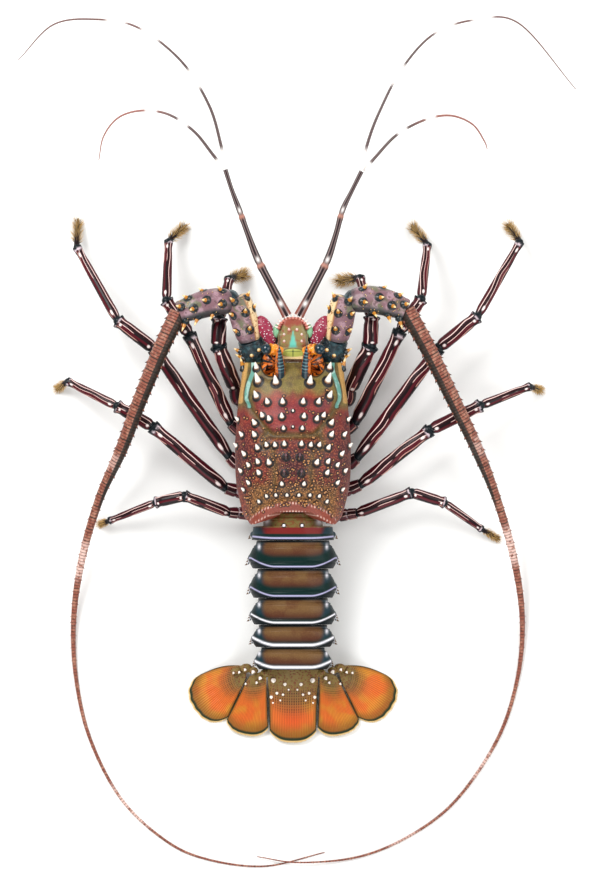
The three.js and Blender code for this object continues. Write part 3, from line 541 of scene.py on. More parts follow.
def makeRingFinish():
    # abdomen: finely dotted brown chitin, a dark green band behind it and a lilac-white rear line; white
    # painted highlights lie at the front corners and side points, beside the first ring's neck, in its two
    # spots and on the last rings' rear line
    f = Finish("abdomenRingChitin", "6b4e2f", 0.45, specular=0.1)
    f.lay("522a1c", f.times(f.band(f.noise(12, 1.5), 0.44, 0.62), 0.5))
    f.lay("8e6a3c", f.times(f.grains(0.8), 0.3))
    f.lay("431c16", f.times(f.mark("low"), 0.8))
    f.lay("6a5a30", f.mark("olive"))
    f.lay("6e4426", f.times(f.mark("olive"), f.band(f.noise(2), 0.46, 0.6)))
    f.lay("6e1e1c", f.mark("red"))
    f.lay("16303a", f.mark("slate"))
    f.lay("02221f", f.mark("green"))
    f.lay("041014", f.mark("dark"))
    f.lay("b9b5da", f.mark("line"))
    # painted highlights in near white, laid over the ring colours
    f.lay("f6f4fb", f.mark("gleam"))
    f.raiseBy(f.grains(0.8), 0.05)
    return f.coat(0.06, 0.15).done()


def makeFanFinish():
    # tail fan: leathery orange membrane on fine rays, olive and granular at the root, dark green rim
    f = Finish("tailFanChitin", "d9712a", 0.5, specular=0.15)
    f.lay("d0902e", f.band(f.noise(13, 1.5), 0.43, 0.6))
    f.lay("dc5220", f.mark("hot"))
    f.lay("74581e", f.times(f.mark("edge"), 0.85))
    f.lay("7a6436", f.mark("root"))
    f.lay("8e3612", f.times(f.mark("rays"), 0.55))
    f.lay("1c1a12", f.times(f.mark("dots"), 0.9))
    f.lay("74402a", f.times(f.mark("base"), f.band(f.grains(1.4), 0.3, 0.7)))
    f.lay("1e2a16", f.mark("rim"))
    f.lay("e8c07c", f.mark("fringe"))
    f.raiseBy(f.mark("rays"), 0.1).raiseBy(f.times(f.mark("base"), f.grains(1.4)), 0.25)
    return f.coat(0.06, 0.25).done()


def makeBristleFinish(name, colour, tip):
    # setae: stiff horny bristles, gold with a darker root
    f = Finish(name, colour, 0.5)
    f.lay(tip, f.band(f.mark("tip"), 0.15, 0.75))
    return f.done()


def makeEyeFinish():
    # cornea: smooth and glassy over a blue-black eye, IOR about 1.4
    f = Finish("glossyCornea", "0e2a34", 0.12, 1.4)
    f.lay("24424c", f.times(f.mark("rim"), 0.6))
    return f.coat(0.7, 0.08).done()


def makeStalkFinish():
    # eye stalks: soft orange chitin, mottled rust and yellow, with a wet shine
    f = Finish("orangeStalkChitin", "f0931e", 0.35)
    f.lay("b4481a", f.band(f.noise(2.4), 0.5, 0.64))
    f.lay("ffd98c", f.times(f.band(f.noise(1.6), 0.56, 0.68), 0.8))
    return f.coat(0.5, 0.1).done()


def makeHornFinish():
    # horns: orange shell with a blue-black ridge along the top
    f = Finish("bandedHornChitin", "d26a1c", 0.3)
    f.lay("5a2a12", f.band(f.noise(1.8), 0.5, 0.6))
    f.lay("101a20", f.mark("root"))
    f.lay("0f2732", f.mark("ridge"))
    f.lay("6f98a0", f.times(f.mark("rings"), 0.8))
    return f.coat(0.3, 0.1).done()


def makePlateFinish():
    # the small plate between the antennae: olive chitin, faintly granular, its wedge teal and its front red
    f = Finish("olivePlateChitin", "857444", 0.42)
    f.lay("8c5236", f.band(f.noise(3), 0.5, 0.64))
    f.lay("3c4a34", f.times(f.mark("outline"), 0.9))
    f.lay("7fb48c", f.mark("edge"))
    f.lay("5fb8a6", f.mark("teal"))
    f.lay("8e3a2c", f.mark("red"))
    f.lay("a9b052", f.mark("lens"))
    f.lay("e2c890", f.mark("lip"))
    f.lay("3a4a20", f.mark("crease"))
    f.raiseBy(f.grains(0.9), 0.08)
    return f.coat(0.2, 0.15).done()


finishes = {
    "shell": makeShellFinish(),
    # white from near the foot: the spine's pale horn and a painted highlight in one
    "shellSpine": makeSpineFinish("carapaceSpineHorn", "1e1012", "fbf4ea", "8a5c38"),
    "faceSpine": makeSpineFinish("faceSpineHorn", "8e3c34", "f8e4dc", "c0786a", 0.25),
    "grain": makeSpineFinish("carapaceGrainHorn", "3a1c16", "c68c56", "8a4a2c"),
    "darkSpine": makeSpineFinish("darkSpineHorn", "1a0c10", "6e4a52", "2a1218", 0.5),
    # the cream tip is partly a painted highlight
    "limbSpine": makeSpineFinish("goldenSpineHorn", "0b1f26", "f2d9a0", "b9761c", 0.55, 0.26),
    "belly": makePlainChitin("paleBellyChitin", "c4a184", "9c6f58"),
    "plate": makePlateFinish(),
    "stalk": makeStalkFinish(),
    "eye": makeEyeFinish(),
    "horn": makeHornFinish(),
    "base": makePlainChitin("navyBaseChitin", "16262c", "31525a", 3.5, 0.32, 1.6, 0.2),
    "peduncle": makePeduncleFinish(),
    "whip": makeWhipFinish(),
    "antennule": makeAntennuleFinish(),
    "leg": makeLegFinish(),
    "ring": makeRingFinish(),
    "fan": makeFanFinish(),
    "bristle": makeBristleFinish("goldenBristles", "46331c", "d2a862"),
    "fringe": makeBristleFinish("paleFringeBristles", "b98d4c", "f0dcae"),
}
print("finishes made:", len(finishes))


# Carapace

shell = {
    # place along Y, half width, height of the top
    "profile": [(48, 29.2, 49), (44, 30.2, 52.5), (36, 31, 56.5), (26, 32.4, 60), (16, 33.4, 62), (8, 34, 63),
                (4.5, 34.2, 62.6), (1, 34.5, 63.4), (-8, 34.6, 64.6), (-18, 34.3, 64.6), (-26, 33.6, 62.6),
                (-32, 32.3, 59.6), (-36, 30.6, 57), (-38.5, 29.4, 55.6), (-41, 28.4, 54)],
    "edge": 20.0, "widest": 38.0, "tuck": 2.15, "rearLobe": 7.4, "front": 48.0, "rear": -41.0,
    "rows": 280, "columns": 270, "notchPlace": 13.0, "notchWidth": 4.6, "notchDepth": 4.0,
    "socket": (12.8, 47.0, 6.2, 7.4, 3.6),  # middle, reach across and along, depth
    # grooves: half width and depth
    "grooves": {"cervical": (1.9, 1.5), "branchial": (1.5, 0.7), "rearGroove": (1.6, 1.3)},
    # share of the half width and rise over the edge, round the recessed underside
    "underside": [(0.94, -0.4), (0.86, 1.5), (0.8, 3.4), (0.4, 3.4), (0, 3.4), (-0.4, 3.4), (-0.8, 3.4),
                  (-0.86, 1.5), (-0.94, -0.4)],
    "cornerSpine": {"foot": (29.6, 44.5, 39.5), "lean": (0.25, 1, 0.15), "length": 7, "radius": 1.8},
    # lines on the right half, in the plan: (distance from the midline, place along Y)
    "cervical": [(27, 23), (24, 18), (20.5, 13.5), (16.5, 8.5), (13, 5), (7, 4.4), (0, 4.6)],
    "branchial": [(15.5, 7), (17.5, 2), (17.5, -3), (13, -2.5), (11.6, -9), (10.8, -17), (11.5, -26)],
    "rearGroove": [(27.3, -45.4), (25.3, -42.9), (22, -40.3), (16.8, -37.4), (8, -34.6), (0, -33.9)],
    "teal": [(23.6, 47.5), (23.6, 43), (25.2, 38.5), (27, 33), (27.8, 27.5), (26.8, 22)],
    "flank": [(28.2, 47), (29.2, 40), (30.6, 32), (31.4, 25)],
}
# Spines of the right half: distance from the midline, place along Y, length and foot radius
spineRows = [
    (21.5, 44.5, 5.5, 1.8), (10, 36, 7, 2.2), (20.5, 36.5, 8.5, 2.2), (21.5, 27.5, 6, 1.9), (15, 24, 5, 1.7),
    (6, 24, 5, 1.7), (6.5, 15.5, 4.5, 1.6), (14, 14, 4.5, 1.6), (18, 16, 4.5, 1.6), (5.5, 8.5, 3.5, 1.3),
    (5, -1, 4.5, 1.5), (10.5, -1.5, 4, 1.5), (15.5, -1.5, 4, 1.5), (22.5, 11.5, 5, 1.7),
    (22.5, 4.5, 5, 1.7), (20.8, -3.2, 4.5, 1.6), (32.3, 13.5, 4, 1.5), (30, 4.5, 4.5, 1.6),
    (33.2, -2, 4, 1.5), (4, -8.5, 4.5, 1.6), (14, -12, 5, 1.7), (20.5, -11.5, 4.5, 1.6),
    (28.5, -7, 4.5, 1.6), (5, -18, 4.5, 1.6), (20, -18, 4.5, 1.6), (30.5, -17, 4, 1.5),
    (26, -13.5, 4, 1.5), (6.5, -24.5, 4, 1.4), (26, -24, 4, 1.4), (29, -28, 3.5, 1.3),
    (3.5, -31, 3.2, 1.2), (10, -31, 3.2, 1.2), (15.5, -31.5, 3.2, 1.2), (20, -33.5, 3.2, 1.2),
]
middleSpineRows = [(0, 19, 2, 0.9), (0, 9.5, 1.8, 0.8)]
grains = {"seed": 11, "count": 1700, "clear": 3.0, "small": 0.3, "large": 0.62, "height": 1.4}


def shellPoint(turn, y):
    # section: x = w sin(a), z = widest + (top - widest) cos(a) above and a flatter ellipse below, with
    # a = turn * tuck; the rear corners and the eye hollows move points along Y
    halfWidth, top = easeTable(shell["profile"], y)
    angle = turn * shell["tuck"]
    x = halfWidth * np.sin(angle)
    down = (shell["widest"] - shell["edge"]) / -math.cos(shell["tuck"])
    z = shell["widest"] + np.cos(angle) * np.where(np.cos(angle) > 0, top - shell["widest"], down)
    corner = smooth(9, 24, np.abs(x)) - 0.3 * smooth(24.5, 28.4, np.abs(x))
    lobe = smooth(30, -shell["rear"], -y) * corner * shell["rearLobe"]
    hollow = np.exp(-((np.abs(x) - shell["notchPlace"]) / shell["notchWidth"]) ** 4)
    hollow = hollow * smooth(33, 48, y) * smooth(40, 46, z) * shell["notchDepth"]
    return np.stack([x, y - lobe - hollow, z], axis=-1)


def shellSpot(x, y):
    # the point of the shell above a place of the plan, and the direction straight out
    halfWidth = easeTable(shell["profile"], y)[0]
    turn = np.arcsin(np.clip(x / halfWidth, -1, 1)) / shell["tuck"]
    foot = shellPoint(turn, y)
    across = shellPoint(turn + 0.01, y) - foot
    along = shellPoint(turn, y + 0.01) - foot
    return foot, unit(np.cross(across, along))


def allShellSpines():
    # the rows, the same on the left half, and the two in the middle
    rows = np.array(spineRows)
    return np.concatenate([rows, rows * [-1, 1, 1, 1], middleSpineRows])


def scatterGrains(spineFeet):
    # grains at random places of the shell, thicker to the rear, off the face and clear of the spines
    random = np.random.default_rng(grains["seed"])
    count = grains["count"]
    x, place = random.uniform(-33, 33, count), random.uniform(-38, 44, count)
    keep = (random.uniform(0, 1, count) < 0.12 + 0.55 * smooth(6, -30, place)) & (np.abs(x) < 31)
    keep &= ~((place > 28) & (np.abs(x) < 18)) & ~((place > 18) & (np.abs(x) > 22))
    feet, out = shellSpot(x[keep], place[keep])
    apart = np.linalg.norm(feet[:, None] - spineFeet[None], axis=-1).min(axis=1) > grains["clear"]
    feet, out = feet[apart], out[apart]
    return feet, out, random.uniform(grains["small"], grains["large"], len(feet))


def carapaceMarks(away, plan, upper, fromLine, bowl, bearing, near, pits):
    # where each colour lies, from the distance off the midline (away), the place along the body (plan) and
    # the distances to the lines, the eye socket, the spines and the grains
    rearLine = np.array(shell["rearGroove"])[::-1]
    behind = np.interp(away, rearLine[:, 0], rearLine[:, 1]) - plan
    rear = smooth(-22, -30, plan)
    redFront = smooth(34, 24.5, plan + 2 * np.sin(away * 0.5))
    redSide = np.maximum(smooth(25, 20.5, away), smooth(24, 17, plan))
    tealLine = fromLine["teal"] - 0.25 * smooth(22, 34, plan)
    cervical, branchial = bump(fromLine["cervical"], 2.3), bump(fromLine["branchial"], 1.5)
    coarse = 0.3 + 0.7 * smooth(14, 2, plan + 0.35 * (20 - away))
    saddle, flanks = bump(away, 12) * bump(plan + 12, 9), bump(away - 31, 5) * bump(plan + 12, 16)
    return {
        "red": redFront * redSide * (1 - rear * smooth(27, 19, away)),
        "maroon": np.maximum(saddle, 0.7 * flanks),
        "crimson": 0.85 * np.maximum(bump(away, 13) * smooth(8, 11, plan) * smooth(30, 20, plan),
                                     bump(away - 30, 6) * smooth(14, 6, plan) * smooth(-32, -20, plan)),
        "rear": rear * smooth(30, 22, away),
        "ochre": 0.6 * bump(fromLine["branchial"], 3.4) * smooth(8, 5, plan) * smooth(-32, -24, plan),
        "border": smooth(0.6, 1.6, behind) * 0.9,
        "beads": (bump(behind - 1.9, 0.5) + bump(behind - 6.6, 0.5)) * smooth(0.1, 0.7, np.cos(away * 3.4)),
        "groove": np.clip(cervical + 0.75 * branchial, 0, 1) * 0.95,
        "teal": smooth(1.15, 0.75, tealLine) * upper,
        "wedge": bump(tealLine - 1.35, 0.4) * 0.8 * upper,
        "flank": smooth(2.0, 1.0, fromLine["flank"]) * 0.9,
        "grainy": coarse * (1 - 0.8 * smooth(0.6, 1.6, behind)),
        "pits": smooth(2.7, 2.2, pits),
        "areola": smooth(1.8, 1.6, near),
        "socket": smooth(1.0, 0.9, bowl) * upper,
        "socketRim": bump(bowl - 1.06, 0.08) * upper,
        "hatch": np.maximum(smooth(0.0, 0.5, np.cos(bearing * 11)), smooth(0.5, 0.3, bowl)),
    }


def makeCarapace():
    # the section is carried along the body, then grooves, spine feet and eye sockets move it in or out
    rows, columns = shell["rows"], shell["columns"]
    y = np.linspace(shell["front"], shell["rear"], rows)[:, None] * np.ones((1, columns))
    turn = np.linspace(-1, 1, columns)[None, :] * np.ones((rows, 1))
    points = shellPoint(turn, y)
    away, plan = np.abs(points[..., 0]), points[..., 1]
    fromLine = {key: nearLine(away, plan, pathAt(shell[key], np.linspace(0, 1, 26)))
                for key in ("cervical", "branchial", "rearGroove", "teal", "flank")}
    spines = allShellSpines()
    feet, out = shellSpot(spines[:, 0], spines[:, 1])
    near = nearFeet(points, feet, spines[:, 3])
    placeX, placeY, reachX, reachY, sunk = shell["socket"]
    bowl = np.hypot((away - placeX) / reachX, (plan - placeY) / reachY)
    bearing = np.arctan2(plan - placeY, away - placeX)
    upper = np.cos(turn * shell["tuck"]) > 0.2
    depth = 0.7 * bump(near, 1.5)
    for key, (width, deep) in shell["grooves"].items():
        depth = depth - deep * bump(fromLine[key], width)
    depth = depth + upper * (0.5 * bump(bowl - 1.1, 0.1) - sunk * smooth(1.0, 0.5, bowl))
    normal = unit(np.cross(np.gradient(points, axis=1), np.gradient(points, axis=0)))
    inside = np.stack([0 * plan, plan, 0 * plan + shell["widest"]], axis=-1)
    normal *= np.sign(np.einsum("ijk,ijk->ij", normal, points - inside))[..., None]
    grainFeet, grainOut, sizes = scatterGrains(feet)
    points = points + normal * (depth * smooth(0.98, 0.9, np.abs(turn)))[..., None]
    pits = nearFeet(points, grainFeet, sizes)
    marks = carapaceMarks(away, plan, upper, fromLine, bowl, bearing, near, pits)
    rightEdge = points[:, -1]
    inner = [np.stack([rightEdge[:, 0] * share, y[:, 0] + (rightEdge[:, 1] - y[:, 0]) * abs(share),
                       np.full(rows, shell["edge"] + rise)], axis=-1) for share, rise in shell["underside"]]
    ring = np.concatenate([points, np.stack(inner, axis=1)], axis=1)
    pad = np.zeros((rows, len(inner)))
    marks = {key: np.concatenate([value, pad], axis=1) for key, value in marks.items()}
    surface = gridSurface(ring, ends=(None, (0, shell["rear"], shell["widest"])), **marks)
    makePiece("carapaceShell", [surface], finishes["shell"], ["carapace"])
    # the four spines in the middle of the back are dark to the tip
    dim = (np.abs(spines[:, 0]) < 7) & (np.abs(spines[:, 1] + 13) < 7)
    for title, chosen, finish in (("carapaceSpines", ~dim, "shellSpine"),
                                  ("carapaceDarkSpines", dim, "darkSpine")):
        lean, lengths, radii = out[chosen] + [0, 0.85, 0], spines[chosen, 2] * 0.82, spines[chosen, 3] * 0.88
        field = cones(feet[chosen], lean, lengths, radii, 16, 14, 0.6, 0.2)
        makePiece(title, [field], finishes[finish], ())
    corner = shell["cornerSpine"]
    both = np.array([(1, 1, 1), (-1, 1, 1)])
    corners = cones(both * corner["foot"], both * corner["lean"], corner["length"], corner["radius"], 12, 10)
    makePiece("carapaceCornerSpines", [corners], finishes["limbSpine"], ())
    heads = cones(grainFeet, grainOut + [0, 0.6, 0], sizes * grains["height"], sizes, 6, 5, 0.6)
    makePiece("carapaceGrains", [heads], finishes["grain"], ())


horns = {
    # distance from the midline, place along Y, height, radius
    "path": [(7.5, 37.5, 51.5, 3), (7.8, 46, 55.5, 2.9), (8.2, 53, 59.3, 1.9), (8.3, 57.8, 62.6, 0.25)],
    "rows": 80, "around": 40, "ringSpacing": 2.1,
    "fold": {"place": (12.6, 49.4, 45.2), "radii": (5.6, 5.4, 4.4), "from": (9, 47), "rays": 13},
}


def mirrored(rows, side):
    # rows of (x, y, z, radius) on one side of the body
    return np.array(rows) * [side, 1, 1, 1]


def makeHorns():
    # a tapering tube for each horn, ringed along its ridge, and a ball of ridged folds in the hollow under
    # each eye
    surfaces = []
    angle = ringAngles(horns["around"])
    for side in (-1, 1):
        path, run = evenPath(mirrored(horns["path"], side), horns["rows"])
        share = (run / run[-1])[:, None]
        ridge = smooth(0.62, 0.8, np.sin(angle + 0.35 * side))[None, :] * np.ones_like(share)
        rings = smooth(0.5, 0.95, np.cos(run * 2 * math.pi / horns["ringSpacing"]))[:, None]
        rings = rings * ridge * smooth(0.2, 0.4, share)
        root = smooth(0.3, 0.1, share) * smooth(-0.2, 0.5, -np.cos(angle) * side)[None, :]
        surfaces.append(tube(path[:, :3], path[:, 3], horns["around"], ridge=ridge, rings=rings, root=root))
        fold = horns["fold"]
        (x, y, z), (fromX, fromY) = fold["place"], fold["from"]
        ball = ballSurface((x * side, y, z), fold["radii"], 64, 32)
        ray = np.arctan2(ball["points"][:, 1] - fromY, ball["points"][:, 0] - fromX * side)
        ball["marks"]["root"] = smooth(0.1, 0.5, np.cos(ray * fold["rays"]))
        surfaces.append(ball)
    makePiece("frontalHorns", surfaces, finishes["horn"], ())


makeCarapace()
makeHorns()
print("carapace done")


# Belly, face and mouth legs

belly = {
    "front": 36.0, "frontHalf": 9.0, "rearHalf": 19.0, "rows": 120, "furrows": (34, 16, -1, -20, -35),
    "thin": 0.4, "thick": 7.0, "thinBehind": -41.1,
    # share of the half width, height and share of the thickness, once round the section
    "section": [(-1, 14, 0), (-0.85, 11.5, 0), (-0.7, 10, 0), (-0.35, 10.3, 0), (0, 11.2, 0), (0.35, 10.3, 0),
                (0.7, 10, 0), (0.85, 11.5, 0), (1, 14, 0), (1, 14, 1), (0.6, 14.2, 1.2), (-0.6, 14.2, 1.2),
                (-1, 14, 1)],
}


def sternumHalf(y):
    # half width of the belly plate, which widens evenly to the rear
    return np.interp(y, [sternumRear, belly["front"]], [belly["rearHalf"], belly["frontHalf"]])


def makeSternum():
    # the section is carried along the body, with a rounded furrow across it between each pair of legs
    y = np.linspace(belly["front"], sternumRear, belly["rows"])
    rise = np.where(y < belly["thinBehind"], belly["thin"], belly["thick"])
    furrow = sum(bump(y - place, 1.6) for place in belly["furrows"])
    ring = [np.stack([sternumHalf(y) * share, y, low + rise * up + 0.9 * furrow * (up == 0)], axis=-1)
            for share, low, up in belly["section"]]
    makePiece("bellyPlate", [gridSurface(np.stack(ring, axis=1))], finishes["belly"], ["sternum"])


def superRing(centre, half, height, rows, around=48, power=2.6):
    # rows of rounded boxes: |x/a|^p + |z/b|^p = 1
    angle = ringAngles(around)
    c, s = np.cos(angle), np.sin(angle)
    scale = (np.abs(c) ** power + np.abs(s) ** power) ** (-1 / power)
    return np.stack([centre[0] + half[:, None] * (c * scale), rows[:, None] * np.ones((1, around)),
                     centre[1][:, None] + height[:, None] * (s * scale)], axis=-1)


face = {
    # the block: place along Y, half width, lower and upper height
    "block": [(48.6, 12, 20, 44), (56, 11, 20, 42), (64, 8, 22, 40)], "blockRows": 40,
    # the small plate: place along Y and half width, top and the underside's height behind and in front
    "plate": [(50, 7.6), (56.5, 8.6), (65, 9.2), (71, 6.8), (75, 5)], "plateRows": 90, "plateAround": 72,
    "top": 47.4, "under": (44.4, 41.0), "step": 65,
    "spots": [(2.4, 67.5, 47.2), (5.2, 64.5, 47.2), (5.2, 60.5, 47.2)],
    "rim": {"count": 13, "reachX": 8.4, "reachY": 6.6, "middle": 67.6, "height": 46.6, "length": 3.6},
    "leaf": {"place": (9.9, 66.8, 44.6), "radii": (1.9, 4.0, 1.8)},
}


def facePlateMarks(x, along, broad, upper, lens):
    # colours of the small plate: a teal wedge between dark outlines, the lens-shaped lip, a red front
    wedge = smooth(0.4, -0.4, x - np.interp(along, [56, 65.5], [2.6, 0.4]))
    return {
        "teal": upper * wedge * smooth(56.4, 57.6, along) * smooth(67.5, 66, along),
        "outline": upper * np.maximum(bump(x - broad * 0.9, 0.45), bump(lens - 1.06, 0.08)),
        "lens": upper * smooth(1.0, 0.92, lens),
        "lip": upper * smooth(51.6, 51.1, along - 0.02 * x * x),
        "crease": upper * smooth(0.9, 0.7, lens) * (bump(along - 54.6, 0.2) + bump(x - 0.1, 0.2)),
        "red": smooth(69, 71.5, along) * 0.9,
    }


def makeFace():
    # two rounded boxes along the body; the small plate is swollen at its sides and hollow along its middle,
    # with a lip behind, spines in front and a leaf at each side
    place, half, low, high = np.array(face["block"]).T
    y = np.linspace(place[0], place[-1], face["blockRows"])
    half, low, high = np.interp(y, place, half) * 0.98, np.interp(y, place, low), np.interp(y, place, high)
    block = superRing((0, (low + high) / 2), half, (high - low) / 2, y, power=3.5)
    makePiece("faceBlock", [gridSurface(block)], finishes["belly"], ["epistome"])
    y = np.linspace(face["plate"][0][0], face["plate"][-1][0], face["plateRows"])
    half = easeTable(face["plate"], y)[0]
    base = np.where(y < face["step"], *face["under"])
    middle, height = (base + face["top"]) / 2, (face["top"] - base) / 2
    plate = superRing((0, middle), half, height, y, face["plateAround"], 3.0)
    x, along = np.abs(plate[..., 0]), plate[..., 1]
    upper = smooth(45.5, 46.6, plate[..., 2])
    lens = np.hypot(x / 6.6, (along - 53.6) / 2.7)
    lip = bump(along - 54, 2.4) * smooth(7.4, 6, x)
    swollen, hollow = bump(x - 5, 1.8) * smooth(56, 60, along), bump(x, 1.6) * smooth(58, 62, along)
    plate[..., 2] += upper * (0.5 * lip - 0.5 * bump(along - 57, 0.9) + 0.6 * swollen - 0.4 * hollow)
    marks = facePlateMarks(x, along, easeTable(face["plate"], along)[0], upper, lens)
    feet = np.array([(x * s, y, z) for x, y, z in face["spots"] for s in (-1, 1)])
    spines = cones(feet, np.tile([0, 0.5, 0.9], (len(feet), 1)), 2.0, 0.95, 12, 10, 0.6)
    rim = face["rim"]
    bearing = np.radians(np.linspace(8, 172, rim["count"]))
    level = 0 * bearing
    rimFeet = np.stack([rim["reachX"] * np.cos(bearing), rim["middle"] + rim["reachY"] * np.sin(bearing),
                        level + rim["height"]], axis=1)
    rimOut = np.stack([np.cos(bearing), np.sin(bearing) + 0.3, level + 0.5], axis=1)
    rimSpines = cones(rimFeet, rimOut, rim["length"], 0.85, 10, 8)
    x, y, z = face["leaf"]["place"]
    leaves = [ballSurface((x * s, y, z), face["leaf"]["radii"], edge=1.0) for s in (-1, 1)]
    makePiece("faceplate", [gridSurface(plate, **marks), *leaves], finishes["plate"], ["antennular_plate"])
    makePiece("faceplateSpines", [spines, rimSpines], finishes["faceSpine"], ())


eyes = {
    "stalk": [(6.4, 54.6, 51.2, 2.0), (8.4, 55.2, 52, 2.6), (10.8, 55.6, 53, 3.3), (13.6, 56, 54.3, 3.3)],
    "stalkRows": 40, "stalkAround": 32, "place": (15.8, 56, 54.5), "radius": 3.2, "around": 40, "rings": 26,
}


def makeEyes(name, side):
    # a lumpy stalk, its radius waving along and round it, and a round eye with a paler rim round its lens
    path, run = evenPath(mirrored(eyes["stalk"], side), eyes["stalkRows"])
    lumps = 1 + 0.07 * np.sin(run * 1.7)[:, None] * np.cos(ringAngles(eyes["stalkAround"]) * 2)[None, :]
    stalk = tube(path[:, :3], path[:, 3:] * lumps, eyes["stalkAround"])
    makePiece("eyestalk" + name.title(), [stalk], finishes["stalk"], ["eye_stalk_" + name])
    rim = bump(ballTilts(eyes["rings"]) - 1.9, 0.25)
    x, y, z = eyes["place"]
    eye = ballSurface((x * side, y, z), [eyes["radius"]] * 3, eyes["around"], eyes["rings"], rim=rim)
    makePiece("cornea" + name.title(), [eye], finishes["eye"], ["eye_" + name])


mouthLegs = {
    "path": [(5.6, 37, 14, 3.6), (6.5, 46, 13.5, 3.4), (8, 56, 14.5, 3), (8, 63, 16, 2.4), (6.5, 69, 12, 1.4),
             (5.5, 71, 9, 0.7)],
    "rows": 90, "around": 24, "joints": (12.0, 22.0, 28.0),
}


def makeMaxilliped(name, side):
    # a tapering tube that is a little narrower at its joints
    path, run = evenPath(mirrored(mouthLegs["path"], side), mouthLegs["rows"])
    joints = bump(nearest(run, mouthLegs["joints"]), 0.8)
    leg = tube(path[:, :3], path[:, 3] * (1 - 0.12 * joints), mouthLegs["around"], joint=joints[:, None])
    makePiece("mouthLeg" + name.title(), [leg], finishes["leg"], ["maxilliped_" + name])


makeSternum()
makeFace()
for name, side in sides.items():
    makeEyes(name, side)
    makeMaxilliped(name, side)
print("face done")


# Antennae

# Rows are x, y, z and radius; pale bands, partly painted highlights, are place along the whip, half width and
# strength
antenna = {
    "left": {
        "base": [(-20.6, 48.6, 32.4, 7.6), (-22.8, 55, 35, 8.2), (-25.5, 62, 38, 7.6)],
        "inner": [(-25.8, 62, 38.4, 7.2), (-28, 70, 41, 8.1), (-31, 80, 44, 8.1), (-33.4, 87, 45, 7.4)],
        "outer": [(-37, 84, 45, 7.2), (-46, 84.2, 46, 8.1), (-57, 81.5, 47, 7.9), (-68, 77.8, 48, 6.2)],
        "whip": [(-68, 78, 48, 5.2), (-78.5, 56, 49, 4.8), (-91, 26, 42, 4.3), (-102.5, -4, 32, 3.7),
                 (-116, -34, 22, 2.6), (-126.5, -70, 11, 2.2), (-131.5, -106, 3.6, 1.6), (-130, -142, 1, 1.2),
                 (-121.5, -178, 0.8, 1.0), (-103, -213.5, 0.65, 0.85), (-77, -238, 0.6, 0.75),
                 (-52, -249.5, 0.5, 0.65), (-17, -253.8, 0.45, 0.5), (19, -245.5, 0.4, 0.3)],
        "pale": [(0.222, 0.018, 0.5), (0.365, 0.035, 1), (0.715, 0.05, 0.9)],
    },
    "right": {
        "base": [(20.6, 48.6, 32.4, 7.6), (22.8, 55, 35, 8.2), (25.5, 62, 38, 7.6)],
        "inner": [(25.8, 62, 38.4, 7.2), (27.5, 70, 41, 8.1), (29.5, 80, 44, 8.1), (31.2, 87, 45, 7.4)],
        "outer": [(35.4, 85, 45, 7.2), (46, 85.6, 46, 8.1), (57, 83.2, 47, 7.9), (67.5, 79.2, 48, 6.2)],
        "whip": [(67.5, 79.4, 48, 5.2), (80.5, 56, 49, 4.8), (95.5, 26, 42, 4.3), (110, -4, 32, 3.7),
                 (122, -34, 22, 2.6), (132.5, -70, 11, 2.2), (137.5, -106, 3.6, 1.6), (134.5, -142, 1, 1.2),
                 (122.5, -178, 0.8, 1.0), (98, -214, 0.65, 0.85), (71, -235, 0.6, 0.75),
                 (40, -248, 0.9, 0.65), (4, -251.5, 2.6, 0.5), (-21.5, -248, 1.6, 0.3)],
        "pale": [(0.205, 0.018, 0.5), (0.35, 0.035, 1), (0.655, 0.03, 0.8), (0.8, 0.03, 0.6)],
    },
}
# Spines of the stout lengths: share of the length, turn from the top and length of the spine
innerSpines = [(0.3, 0.2, 5), (0.3, -0.9, 4.5), (0.62, 0.25, 5.5), (0.62, -0.8, 4.5), (0.62, 1.25, 4),
               (0.93, -0.35, 6), (0.93, 0.9, 5), (0.9, -1.5, 5)]
outerSpines = [(0.22, -0.2, 5), (0.22, 1, 5), (0.42, -1.1, 5.5), (0.5, 0.25, 5), (0.5, 1.4, 4),
               (0.72, -1.15, 6), (0.75, -0.1, 5), (0.78, 1, 4.5), (0.95, -1.2, 6.5), (0.95, 0.4, 4.5)]


def limbFrame(rows, share):
    # centre, direction and the two square directions at shares of a limb
    at = pathAt(rows, share)
    before, after = pathAt(rows, np.maximum(share - 0.01, 0)), pathAt(rows, np.minimum(share + 0.01, 1))
    along = unit(after[:, :3] - before[:, :3])
    across = unit(np.cross([0, 0, 1], along))
    return at[:, :3], along, across, np.cross(along, across)


stout = {"rows": 110, "around": 96, "reach": 7.1, "footRadius": 1.7, "grains": 26, "grainLength": 0.7,
         "grainRadius": 0.4}


